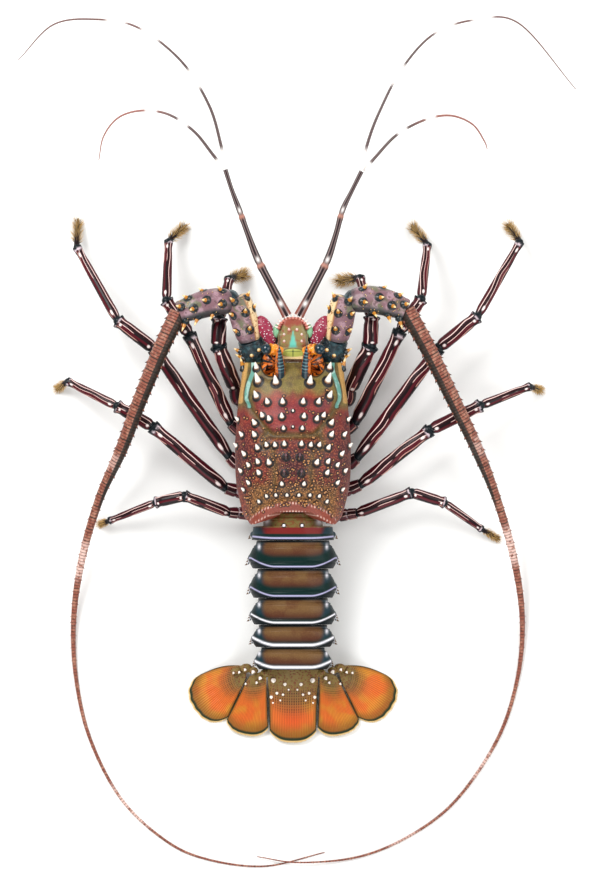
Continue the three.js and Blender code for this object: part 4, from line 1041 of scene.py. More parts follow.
def stoutLength(rows, spines, side, edgeTurn, edgeMark):
    # a barrel-shaped length with a swollen far rim; dark rings lie round the foot of each spine, and the
    # edge on the side of edgeTurn takes the mark edgeMark
    share, turn, length = np.array(spines).T
    centre, along, across, up = limbFrame(rows, share)
    out = up * np.cos(turn)[:, None] - side * across * np.sin(turn)[:, None]
    feet = centre + out * stout["reach"]
    path = evenPath(rows, stout["rows"])[0]
    place = np.linspace(0, 1, stout["rows"])
    girth = path[:, 3] * (1 + 0.05 * bump(place - 0.96, 0.03) - 0.06 * smooth(0.1, 0, place))
    surface = tube(path[:, :3], girth, stout["around"])
    points, marks = surface["points"], surface["marks"]
    near = nearFeet(points, feet, np.ones(len(feet)))
    marks["areola"] = smooth(3.1, 2.7, near)
    # painted shade: the lower half of the barrel, seen from above as its two rims, is darkened; the dark band
    # at the near end is the joint
    marks["dark"] = smooth(0.2, -0.6, np.sin(marks["angle"])) * 0.8 + bump(marks["along"], 0.08) * 0.7
    edge = smooth(0.35, 0.7, np.cos(marks["angle"]) * edgeTurn) * 0.9
    marks[edgeMark] = np.maximum(marks.get(edgeMark, 0), edge)
    points[:] += unit(points - points.mean(axis=0)) * (0.5 * bump(near, 2.2))[:, None]
    field = cones(feet, out + 0.8 * along, length, stout["footRadius"], 16, 12, flare=0.5)
    # fine grains stand between the spines
    random = np.random.default_rng(len(spines))
    count = stout["grains"]
    fineShare, fineTurn = random.uniform(0.08, 0.95, count), random.uniform(-1.6, 1.6, count)
    centre, along, across, up = limbFrame(rows, fineShare)
    out = up * np.cos(fineTurn)[:, None] + across * np.sin(fineTurn)[:, None]
    reach = np.interp(fineShare, place, girth)[:, None]
    fine = cones(centre + out * reach * 0.98, out + along, stout["grainLength"], stout["grainRadius"], 6, 5,
                 0.6)
    return surface, [field, fine]


antennaPad = {"place": (15.9, 67.2, 42.8), "radii": (4.5, 9.6, 3.4), "lean": 27}


def makePad(side):
    # the granular magenta pad on the inner side of the second length: an ellipsoid turned by its lean
    ball = ballSurface((0, 0, 0), antennaPad["radii"], 60, 40, magenta=1.0)
    lean = math.radians(antennaPad["lean"]) * -side
    turned = np.array([[math.cos(lean), -math.sin(lean), 0], [math.sin(lean), math.cos(lean), 0], [0, 0, 1]])
    x, y, z = antennaPad["place"]
    ball["points"] = ball["points"] @ turned.T + [x * side, y, z]
    return ball


whips = {"rows": 3000, "around": 20, "ringSpacing": 1.9, "cuts": (-3.9, -105.9), "nearEvery": 3,
         "farEvery": 4}


def makeWhip(name, side):
    # a tapering rod of short rings: each ring swells a little, with a dark seam between rings, and carries
    # a pair of spinules every few rings. Length is cut into the frame's three nodes.
    data = antenna[name]
    path, run = evenPath(data["whip"], whips["rows"])
    share = run / run[-1]
    ring = run / whips["ringSpacing"]
    phase = ring % 1
    girth = path[:, 3] * (1 + 0.04 * np.sin(math.pi * phase) ** 0.7 - 0.02)
    across = np.cos(ringAngles(whips["around"]))
    # pale bands along the whip, partly painted highlights
    pale = np.clip(sum(strength * smooth(width, width * 0.45, np.abs(share - place))
                       for place, width, strength in data["pale"]), 0, 1)
    shade = smooth(-0.2, 0.5, -across * side)[None, :] * (0.25 + 0.75 * smooth(0.36, 0.2, share))[:, None]
    seam = bump(np.minimum(phase, 1 - phase), 0.14)[:, None] * 0.8
    # every fourth seam is a broad dark bar on the thick part
    fourth = ring / 4 % 1
    bar = bump(np.minimum(fourth, 1 - fourth), 0.06) * smooth(0.5, 0.3, share) * (1 - pale)
    cuts = [0, *[np.searchsorted(-path[:, 1], -edge) for edge in whips["cuts"]], len(path)]
    for k in range(3):
        part = slice(cuts[k], cuts[k + 1] + (1 if k < 2 else 0))
        surfaces = [tube(path[part, :3], girth[part], whips["around"], floor=0.0, pale=pale[part, None],
                         shade=shade[part], seam=seam[part], bar=bar[part, None])]
        every = whips["nearEvery"] if k == 0 else whips["farEvery"]
        places = np.searchsorted(ring, np.arange(math.ceil(ring[part][0]), ring[part][-1], every))
        places = places[(places > 4) & (places < len(path) - 60)]
        if len(places):
            along = unit(path[places + 4, :3] - path[places - 4, :3])
            level = unit(np.cross([0, 0, 1], along))
            radius = path[places, 3]
            for turn in (-1, 1):
                out = level * turn + [0, 0, 0.35]
                feet = path[places, :3] + unit(out) * radius[:, None] * 0.9
                surfaces.append(cones(feet, out + along * 0.9, radius * 0.42 + 0.4, radius * 0.17, 6, 5))
        piece = "whip" + name.title() + str(k + 1)
        makePiece(piece, surfaces, finishes["whip"], ["antenna_%s_whip_%d" % (name, k + 1)])


antennaBase = {
    "rows": 60, "around": 72,
    "knobs": [(20.2, 55.4, 42.6), (24.4, 52.2, 42), (27.6, 55.5, 41), (20.5, 51.5, 40.6)],
    "knobLength": 1.6, "knobRadius": 1.5,
    "spines": [(29.6, 50.6, 37), (31.4, 54.6, 38)], "spineLengths": (5.5, 4.5), "spineRadius": 1.6,
    "nearFold": {"place": (25.6, 62, 38), "radii": (6.6, 3, 6.6)},
    "farFold": {"place": (85, 44.6), "radii": (5.5, 6.5, 6.5)},
}


def makeAntenna(name, side):
    # base, two stout lengths with their spines and pad, and soft dark folds in the joints between them
    data, title = antenna[name], name.title()
    path = evenPath(data["base"], antennaBase["rows"])[0]
    base = tube(path[:, :3], path[:, 3], antennaBase["around"])
    turned = np.array([side, 1, 1])
    knobFeet = antennaBase["knobs"] * turned
    knobs = cones(knobFeet, np.tile([0.3 * side, 0.3, 1], (len(knobFeet), 1)), antennaBase["knobLength"],
                  antennaBase["knobRadius"], 20, 12, 0.5, 0.6)
    outward = cones(antennaBase["spines"] * turned, [(side, 0.5, 0.1)] * 2, antennaBase["spineLengths"],
                    antennaBase["spineRadius"], 16, 12)
    makePiece("antennaBase" + title, [base], finishes["base"], ["antenna_%s_base" % name])
    makePiece("antennaBaseKnobs" + title, [knobs, outward], finishes["limbSpine"], ())
    inner, innerField = stoutLength(data["inner"], innerSpines, -side, side, "gold")
    outer, outerField = stoutLength(data["outer"], outerSpines, -side, -side, "dark")
    makePiece("antennaInner" + title, [inner, makePad(side)], finishes["peduncle"],
              ["antenna_%s_inner" % name])
    makePiece("antennaOuter" + title, [outer], finishes["peduncle"], ["antenna_%s_outer" % name])
    makePiece("antennaSpines" + title, innerField + outerField, finishes["limbSpine"], ())
    nearFold, farFold = antennaBase["nearFold"], antennaBase["farFold"]
    folds = [ballSurface(nearFold["place"] * turned, nearFold["radii"]),
             ballSurface((data["outer"][0][0], *farFold["place"]), farFold["radii"])]
    makePiece("antennaFolds" + title, folds, finishes["base"], ())
    makeWhip(name, side)


antennules = {
    # shares of the stem's length, and shares of each branch's length for its white bands
    # the spots are pale ovals on the stem, painted highlights
    "joints": (0.37, 0.7), "swollen": (0.35, 0.68), "knuckles": (0.36, 0.69), "spots": (0.09, 0.4, 0.73),
    "bands": {"lower": (0.03, 0.33, 0.52), "upper": (0.03, 0.3, 0.5, 0.62)}, "ringSpacing": 0.9,
    "left": {
        "stem": [(-3.6, 76, 45, 3), (-12, 92, 48, 2.4), (-21, 109.5, 50, 2.2), (-27, 125, 52, 1.7),
                 (-32, 139, 54, 1.7), (-36.5, 151, 55, 1.3), (-40.2, 162.6, 56, 1.4)],
        "lower": [(-41.2, 163, 55.4, 1), (-48, 172, 55, 0.95), (-59, 185.5, 54, 0.85), (-74, 195.5, 51, 0.75),
                  (-90, 198, 46, 0.65), (-104, 194, 40, 0.55), (-113, 183, 33, 0.45), (-116, 169, 26, 0.25)],
        "upper": [(-40.4, 163, 57.2, 1), (-43, 178, 59, 0.95), (-50, 201, 61, 0.85), (-66.5, 227, 60, 0.75),
                  (-92, 247, 54, 0.65), (-117, 252.3, 46, 0.6), (-143, 249.5, 36, 0.5),
                  (-164, 229, 25, 0.25)],
    },
    "right": {
        "stem": [(3.6, 76, 45, 3), (12, 92, 48, 2.4), (20.5, 109, 50, 2.2), (25.5, 124, 52, 1.7),
                 (29.5, 138.5, 54, 1.7), (35, 150, 55, 1.3), (40.8, 161.6, 56, 1.4)],
        "lower": [(42.2, 162, 55.4, 1), (49, 170, 55, 0.95), (62, 183.5, 54, 0.85), (79, 192.5, 51, 0.75),
                  (94, 195, 46, 0.65), (107, 190, 40, 0.55), (114, 180.5, 34, 0.45), (116, 175.5, 31, 0.25)],
        "upper": [(41, 162, 57.2, 1), (44, 177, 59, 0.95), (51, 196, 61, 0.85), (64.5, 222, 60, 0.75),
                  (83.5, 243, 55, 0.65), (108, 251.9, 47, 0.6), (135, 250, 38, 0.5), (169, 211.5, 24, 0.25)],
    },
}


def makeAntennule(name):
    # a jointed stem with two striped sides and pale ovals that are painted highlights, and two thin ringed
    # whips with white bands
    data, title = antennules[name], name.title()
    path, run = evenPath(data["stem"], 240)
    share = run / run[-1]
    across = np.cos(ringAngles(28))
    joints = bump(nearest(share, antennules["joints"]), 0.012)
    swollen = sum(0.12 * bump(share - place, 0.02) for place in antennules["swollen"])
    # painted highlights: pale ovals on the top and bottom of the stem
    spots = bump(nearest(share, antennules["spots"]), 0.018)
    stem = tube(path[:, :3], path[:, 3] * (1 - 0.14 * joints + swollen), 28,
                stripe=(bump(across - 0.5, 0.1) + bump(across + 0.5, 0.1))[None, :],
                pale=np.clip(spots[:, None] * bump(across, 0.4)[None, :], 0, 1),
                red=smooth(0.16, 0.04, share)[:, None] * smooth(0.2, 0.8, np.abs(across))[None, :],
                knuckle=bump(nearest(share, antennules["knuckles"]), 0.014)[:, None])
    makePiece("antennuleStem" + title, [stem], finishes["antennule"], ["antennule_%s_stem" % name])
    for place, bands in antennules["bands"].items():
        path, run = evenPath(data[place], 900)
        share = run / run[-1]
        rings = 0.5 - 0.5 * np.cos(run * 2 * math.pi / antennules["ringSpacing"])
        pale = np.clip(sum(smooth(0.045, 0.02, np.abs(share - band)) for band in bands), 0, 1)
        red = smooth(0.35, 0.6, share) * (1 if place == "lower" else 0.3)
        branch = tube(path[:, :3], path[:, 3] * (1 + 0.05 * rings), 12, pale=pale[:, None], red=red[:, None],
                      stripe=rings[:, None] * 0.5)
        makePiece("antennule" + place.title() + title, [branch], finishes["antennule"],
                  ["antennule_%s_%s" % (name, place)])


for name, side in sides.items():
    makeAntenna(name, side)
    makeAntennule(name)
print("antennae done")


# Legs

# Radius of the thickest length, then hip, ischium, knee, wrist, ankle and tip of each leg
legs = {
    "leg_1_left": (4.6, (-30, 25, 14), (-34.5, 33, 16), (-44.5, 58, 33), (-44, 74, 31), (-38, 98.5, 15),
                   (-28, 101.5, 0)),
    "leg_2_left": (3.9, (-30, 7, 14), (-37, 12, 16), (-62, 65, 32), (-75.5, 85, 32), (-74.5, 121, 12),
                   (-64, 131, 0)),
    "leg_3_left": (3.9, (-31, -13, 14), (-38, -8, 16), (-83, 56.5, 30), (-104.5, 73, 27), (-129.5, 117.5, 12),
                   (-129, 134.5, 0)),
    "leg_4_left": (3.8, (-31, -29, 14), (-40, -27, 16), (-84, 10, 29), (-105, 22, 26), (-135, 37, 9),
                   (-142, 32, 0)),
    "leg_5_left": (3.3, (-30, -42, 14), (-38, -41.5, 16), (-65, -31.5, 24), (-82, -35.5, 20),
                   (-110, -46.5, 7), (-116.5, -49, 0)),
    "leg_1_right": (4.6, (30, 25, 14), (34, 32, 16), (46, 58, 33), (47, 75, 31), (40, 99, 15),
                    (26, 97.5, 0)),
    "leg_2_right": (3.9, (30, 8, 14), (37, 12, 16), (64, 67, 32), (76.5, 86, 32), (80.5, 119, 12),
                    (71, 131, 0)),
    "leg_3_right": (3.9, (31, -13, 14), (38, -9, 16), (87, 57, 30), (110, 75.5, 27), (136, 120.5, 12),
                    (128.5, 131.5, 0)),
    "leg_4_right": (3.8, (31, -28, 14), (40, -25, 16), (82, 8, 29), (112, 22.5, 26), (142, 34, 9),
                    (149, 31.5, 0)),
    "leg_5_right": (3.3, (30, -43, 14), (38, -42, 16), (71, -29.5, 24), (90.5, -35.5, 20), (113, -51.5, 7),
                    (124, -58, 0)),
}
# Radii are shares of the leg's own radius
legShape = {
    "coxaRows": 70, "coxaRings": (0.42, 0.72), "coxaRadii": (1.12, 1.14, 0.95), "socketHeight": 14.8,
    "around": 48, "carpus": 0.98, "propodus": 0.76, "ankle": 0.46, "foot": 0.36, "tipRadius": 0.55,
    "tipHeight": 0.7, "kneeBall": 0.82, "wristBall": 0.72, "ankleBall": 0.5, "kneeSpine": (0.75, 0.22),
}
brush = {"count": 300, "girth": 0.16, "rings": 4, "around": 3, "seed": 20, "front": 0.78, "rear": 0.62}


def legLength(start, end, radius, taper, bow, side, rows=90, around=48):
    # one length of a leg: its line bows up by bow, it is narrow at its near joint, tapers, and flares at
    # its far joint; the mark across runs from -1 to 1 over its width, for the stripes
    start, end = np.array(start, float), np.array(end, float)
    share = np.linspace(0, 1, rows)
    centre = start + (end - start) * share[:, None]
    centre[:, 2] += bow * 4 * share * (1 - share)
    girth = radius * (0.74 + 0.28 * smooth(0, 0.13, share)) * (1 + (taper - 1) * share)
    girth = girth * (1 - 0.08 * bump(share - 0.85, 0.07) + 0.16 * smooth(0.9, 0.985, share))
    angle = ringAngles(around)
    flat = 1 - 0.1 * np.sin(angle) ** 2
    # a pale patch on the top of the far joint, a painted highlight
    joint = bump(share - 0.955, 0.014)[:, None] * smooth(0.0, 0.7, np.sin(angle))[None, :]
    dark = np.clip(smooth(0.07, 0.02, share) + smooth(0.93, 0.96, share), 0, 1)[:, None]
    # a painted highlight on top: a pale oval close to each joint
    oval = np.maximum(bump(share - 0.885, 0.035), bump(share - 0.11, 0.04))[:, None]
    onTop = (np.sin(angle) > 0)[None, :]
    spot = smooth(0.35, 0.7, oval * bump(np.cos(angle) * side + 0.3, 0.3)[None, :]) * onTop
    body = (smooth(0.02, 0.07, share) * smooth(0.98, 0.93, share))[:, None]
    across = np.cos(angle)[None, :] * side
    return tube(centre, girth[:, None] * flat[None, :], around, across=across, body=body, joint=joint,
                dark=dark, spot=spot)


def brushOf(ankle, tip, radius, seed):
    # stiff bristles round the last length: they leave it slanting towards the tip and bend along it
    random = np.random.default_rng(seed)
    count = brush["count"]
    along = unit(tip - ankle)
    across = unit(np.cross([0, 0, 1], along))
    up = np.cross(along, across)
    share = random.uniform(0.1, 0.9, count)
    turn = random.uniform(0, 2 * math.pi, count)
    out = np.cos(turn)[:, None] * across + np.sin(turn)[:, None] * up
    foot = ankle + (tip - ankle) * share[:, None] + out * (radius * 0.34)
    reach = radius * random.uniform(0.9, 1.5, count) * (1 - 0.3 * np.abs(share - 0.5))
    direction = unit(out + along * 0.9)
    t = np.linspace(0, 1, brush["rings"])
    angle = ringAngles(brush["around"])
    centre = foot[:, None] + direction[:, None] * (t[None, :, None] * reach[:, None, None] * 1.15)
    centre += along * (t[None, :, None] ** 2 * reach[:, None, None] * 0.25)
    side = unit(np.cross(direction, [0.3, 0.2, 1.0]))
    other = np.cross(direction, side)
    ring = np.cos(angle)[None, :, None] * side[:, None] + np.sin(angle)[None, :, None] * other[:, None]
    girth = brush["girth"] * (1 - 0.85 * t)
    points = centre[:, :, None] + ring[:, None] * girth[None, :, None, None]
    points[..., 2] = np.maximum(points[..., 2], 0.02)
    surface = bundle(points, np.broadcast_to(t[None, :, None], points.shape[:3]), "tip")
    # the map is the unrolled limb: turn across and share along
    corners = np.stack([turn / (2 * math.pi), share], axis=-1)
    return surface, rootPatches(corners, brush["rings"] * brush["around"] + 2)


def kneeSpinesOf(ischium, knee, radius):
    # two short dark spines beside the knee, leaning forward along the leg
    along = unit(knee - ischium)
    across = unit(np.cross([0, 0, 1], along))
    feet = [knee - along * 2.2 + across * turn * radius * 0.75 + [0, 0, radius * 0.6] for turn in (-1, 1)]
    directions = [along + across * turn * 0.5 + [0, 0, 0.3] for turn in (-1, 1)]
    length, girth = (radius * share for share in legShape["kneeSpine"])
    spines = cones(feet, directions, length, girth, 10, 8)
    spines["marks"]["dark"] = np.ones(len(spines["points"]))
    return spines


def makeLeg(name, row, index):
    # a ringed hip, three lengths that bow up a little, balls in the joints and a pointed foot with a brush
    # of bristles
    radius = row[0]
    hip, ischium, knee, wrist, ankle, tip = np.array(row[1:], float)
    side = math.copysign(1, hip[0])
    socket = (side * (sternumHalf(hip[1]) + 0.6), hip[1] - 1.5, legShape["socketHeight"])
    coxaRadii = np.array(legShape["coxaRadii"]) * radius
    coxaPath, run = evenPath(np.column_stack([[socket, hip, ischium], coxaRadii]), legShape["coxaRows"])
    rings = bump(nearest(run / run[-1], legShape["coxaRings"]), 0.03)
    around = legShape["around"]
    coxa = tube(coxaPath[:, :3], coxaPath[:, 3] * (1 - 0.14 * rings), around, joint=rings[:, None] * 0.5,
                across=np.cos(ringAngles(around))[None, :] * side, body=0.8)
    merus = legLength(ischium, knee, radius, 0.98, 2, side)
    carpus = legLength(knee, wrist, radius * legShape["carpus"], 0.98, 0.5, side, 60)
    propodus = legLength(wrist, ankle, radius * legShape["propodus"], 0.8, 0.6, side)
    middle = (ankle + tip) / 2 + [0, 0, 0.8]
    foot = [(*ankle, radius * legShape["ankle"]), (*middle, radius * legShape["foot"]),
            (*tip[:2], legShape["tipHeight"], legShape["tipRadius"])]
    footPath = evenPath(foot, 50)[0]
    dactyl = tube(footPath[:, :3], footPath[:, 3], 24, floor=0.0)
    kneeBall, wristBall, ankleBall = (
        ballSurface(place, (radius * legShape[key],) * 3, 28, 18, dark=1.0)
        for place, key in ((knee, "kneeBall"), (wrist, "wristBall"), (ankle, "ankleBall")))
    title = "".join(part.title() for part in name.split("_"))
    makePiece(title + "Upper", [coxa, merus, kneeBall, kneeSpinesOf(ischium, knee, radius)], finishes["leg"],
              [name + "_upper"])
    makePiece(title + "Lower", [carpus, propodus, dactyl, wristBall, ankleBall], finishes["leg"],
              [name + "_lower"])
    brushShare = brush["rear"] if "_4_" in name or "_5_" in name else brush["front"]
    tuft, rootMap = brushOf(ankle, tip, radius * brushShare, index + brush["seed"])
    makePiece(title + "Brush", [tuft], finishes["bristle"], (), rootMap)


for index, (name, row) in enumerate(legs.items()):
    makeLeg(name, row, index)
print("legs done")


# Abdomen and tail fan

# One value for each ring from the front, and one more where two rings share a place
abdomen = {
    "ends": [-41.6, -58, -75, -92.5, -108.5, -122, -135.4], "half": [22.6, 25.4, 24.8, 24.4, 24, 22.6, 20.5],
    "top": [48.5, 47, 44, 40, 35.5, 31, 27.5], "edge": [15, 13.5, 12.5, 12, 11.5, 11],
    "reach": [2, 3.4, 3, 3, 2.6, 2.4], "lineWidth": [0.45, 0.4, 0.42, 0.5, 0.75, 0.75],
    "greenDepth": [1.2, 5.6, 4.6, 1.6, 1.2, 0.5], "rows": 90, "columns": 150, "tuck": 2.0,
    "neckHalf": 17.6, "neckEnd": -49.6, "paleFrom": 3, "flaps": (1, 2, 3, 4),
}


def ringMarks(index, away, plan, front, rear):
    # bands of a ring: brown in front, then green and dark to the rear line, slate at the sides; the line
    # bends forward there. The first ring has an olive neck with two dark-ringed spots and a red band instead.
    # Painted highlights lie at the front corners, beside the first ring's neck and in the middles of its
    # spots.
    lineAt = rear + 1.3 + 5.0 * np.clip((away - 11) / 14, 0, 1) ** 1.7 * (1 if index else 0.2)
    ahead, behind = plan - lineAt, front - plan
    sides = smooth(16.0, 20.0, away + 1.5 * smooth(4, 0, behind) + 1.2 * smooth(6, 1, ahead))
    thick, deep = abdomen["lineWidth"][index], abdomen["greenDepth"][index]
    line = bump(ahead, thick)
    if index == 0:
        spot = np.hypot(away - 5.4, plan + 49)
        return {
            "line": line, "low": smooth(deep + 7, deep + 1, ahead), "green": smooth(-53.8, -54.4, plan),
            "slate": sides * smooth(-49.5, -50.5, plan), "olive": smooth(-50.6, -50.0, plan),
            "red": smooth(-49.9, -50.5, plan) * smooth(-54.2, -53.6, plan),
            "dark": np.maximum(smooth(-55.9, -56.4, plan), bump(spot - 1.1, 0.45)),
            # painted highlights: white beside the neck and in the middles of the two spots
            "gleam": np.maximum(bump(away - 15.6, 1.6) * bump(plan + 46.2, 2.2), smooth(0.95, 0.6, spot)),
        }
    edges = smooth(-thick * 0.8, -thick * 1.6, ahead) + smooth(1.6, 0.4, behind) + 0.7 * bump(away - 23, 1.2)
    # on these rings the rear line is laid as a white painted highlight
    pale = index >= abdomen["paleFrom"]  # the rear line of these rings is white, not lilac
    return {
        "line": line * (not pale), "low": smooth(deep + 7, deep + 1, ahead),
        "green": smooth(deep + 2.6, deep - 0.8, ahead), "slate": sides, "dark": np.clip(edges, 0, 1),
        # painted highlights at the front corners and, on the last rings, along the rear line
        "gleam": np.maximum(bump(away - 20.2, 0.8) * bump(behind - 3.4, 1.5) * 0.9, line * pale),
    }


def ringSide(index, side, front, rear, low):
    # the point at a ring's side: a short tube that bends down and back, with a row of small teeth, and a
    # painted highlight close to its point
    halfWide = (abdomen["half"][index] + abdomen["half"][index + 1]) / 2 * side
    start = -50 if index == 0 else front
    rows = [(halfWide * 0.84, 0.5, low + 9, 2.5), (halfWide, 0.6, low + 2, 1.7),
            (halfWide + side * abdomen["reach"][index] * 0.5, 0.86, low - 1.4, 0.3)]
    path, run = evenPath([(x, start + (rear - start) * share, z, r) for x, share, z, r in rows], 40)
    # a painted highlight close to the point
    gleam = bump(run / run[-1] - 0.8, 0.1)[:, None] * 0.8
    teeth = evenPath(path[14:, :3] + [side * 0.9, 0, 0], 5)[0]
    return [tube(path[:, :3], path[:, 3], 24, slate=1.0, gleam=gleam),
            cones(teeth, np.tile([side, -0.6, 0.1], (5, 1)), 1.3, 0.5, 8, 6)]


def swimFlap(side, start, low):
    # a small leaf under a ring: its width goes as sqrt(1 - u^4), and it hangs down to the rear
    def leaf(u, v):
        # u runs down the leaf and v across it
        wide = (3 + 1.6 * np.sin(u * 2.6)) * np.sqrt(1.02 - u**4)
        return np.stack([side * (11 + v * wide), start - 7 * u, low + 4 - 6.3 * u], axis=-1)
    return plateSurface(leaf, lambda u, v: 0.9 - 0.4 * u, 24, 18)


def makeRing(index):
    # an arched plate: narrow in front where it slides under the one before, full behind; its section is a
    # half ellipse above and a flatter one below, as the carapace's is
    front, rear = abdomen["ends"][index] - 0.2, abdomen["ends"][index + 1] + 0.2
    half, nextHalf = abdomen["half"][index:index + 2]
    top, nextTop = abdomen["top"][index:index + 2]
    low = abdomen["edge"][index]
    rows, columns = abdomen["rows"], abdomen["columns"]
    share = np.linspace(0, 1, rows)[:, None]
    turn = np.linspace(-1, 1, columns)[None, :] * abdomen["tuck"]
    y = front + (rear - front) * share
    swell = np.interp(share, [0, 0.14, 0.2, 0.7, 1], [-1.3, -1.1, 0, 0.3, 0.2])
    swell = swell - 0.4 * bump(share - 0.24, 0.025)
    if index:
        swell = swell - 0.5 * bump(share - 0.78, 0.03)
        pinch = np.interp(share, [0, 0.15, 0.5, 0.72, 1], [-2.4, -2.2, 0.5, 1.2, -1.2])
        wide = half + (nextHalf - half) * share * 0.6 + swell + pinch
    else:
        wide = half + (nextHalf - half) * share * 0.6 + swell
        wide = np.where(y > abdomen["neckEnd"], abdomen["neckHalf"] + swell, wide)
    high = top + (nextTop - top) * share * 0.8 + swell
    middle = low + (high - low) * 0.42
    down = (middle - low) / -math.cos(abdomen["tuck"])
    x = wide * np.sin(turn)
    z = middle + np.cos(turn) * np.where(np.cos(turn) > 0, high - middle, down)
    points = np.stack([x, y * np.ones_like(x), z], axis=-1)
    if index == 0:
        limit = shell["rear"] - 0.7 - smooth(7, 24, np.abs(x)) * shell["rearLobe"]
        points[..., 1] = np.minimum(points[..., 1], limit + (y - front) * 0.12)
    under = np.stack([np.stack([wide[:, 0] * s, y[:, 0], np.full(rows, low + 2.5)], axis=-1)
                      for s in (0.7, 0.25, -0.25, -0.7)], axis=1)
    ring = np.concatenate([points, under], axis=1)
    marks = ringMarks(index, np.abs(points[..., 0]), points[..., 1], front, rear)
    pad = np.zeros((rows, under.shape[1]))
    marks = {key: np.concatenate([value, pad], axis=1) for key, value in marks.items()}
    surfaces = [gridSurface(ring, **marks)]
    for side in (-1, 1):
        surfaces += ringSide(index, side, front, rear, low)
    number = str(index + 1)
    makePiece("abdomenRing" + number, surfaces, finishes["ring"], ["abdomen_" + number])
    if index in abdomen["flaps"]:
        flaps = [swimFlap(side, front + (rear - front) * 0.45, low) for side in (-1, 1)]
        makePiece("swimFlaps" + number, flaps, finishes["belly"], ())


fan = {
    "root": -135.4, "thin": 1.2, "rays": 7, "rows": 90, "columns": 170, "slopeFrom": -132, "rise": 17.5,
    "bristles": 420, "bristleRadius": 0.12, "middleLift": 1.9, "innerLift": 1.5,
    # arcs of the side blades: centre, start and stop in degrees, radius and fall
    "innerRim": ((20, -132), 300.5, 262.5, 43.8, 0.1), "outerRim": ((24, -135), 353, 296, 42.6, 0.24),
    # spines of the middle blade: distance from the midline, place along Y and size
    "spines": [(11.7, -141.8, 1.5), (4.8, -144.2, 1.05), (9.6, -149.6, 0.9), (13, -152, 1.0),
               (6, -150.5, 0.75), (2.6, -147.5, 0.6), (7.6, -154, 0.6), (12, -155.5, 0.6)],
    # lumps at the root of the outer blade: place and radii
    "lumps": [((28, -134.8, 9.4), (3.6, 2.8, 2.8)), ((23.6, -136.2, 11.6), (2.8, 2.2, 2.2)),
              ((34, -136.6, 7.6), (3.4, 2, 1.8)), ((16.2, -137.6, 12.4), (3.4, 2.6, 2.4))],
    # knobs beside them: place, length and foot radius
    "knobs": [(23.6, -136.6, 13.6, 2.2, 1.2), (28.5, -135.4, 12, 1.6, 0.9), (32, -137, 9.4, 1.6, 0.8),
              (35.5, -137.4, 9, 1.4, 0.7), (19.4, -140.4, 13.6, 2.0, 1.1), (21.6, -143.2, 12, 1.6, 0.8),
              (28.2, -144, 8.6, 1.4, 0.7)],
}


def fanHeight(x, y, lift):
    # the fan slopes from the abdomen's end to the floor with the distance from its middle
    reach = np.hypot(x * 0.86, y - fan["slopeFrom"]) / 44
    return fan["thin"] + lift + fan["rise"] * np.maximum(0, 1 - reach) ** 1.15


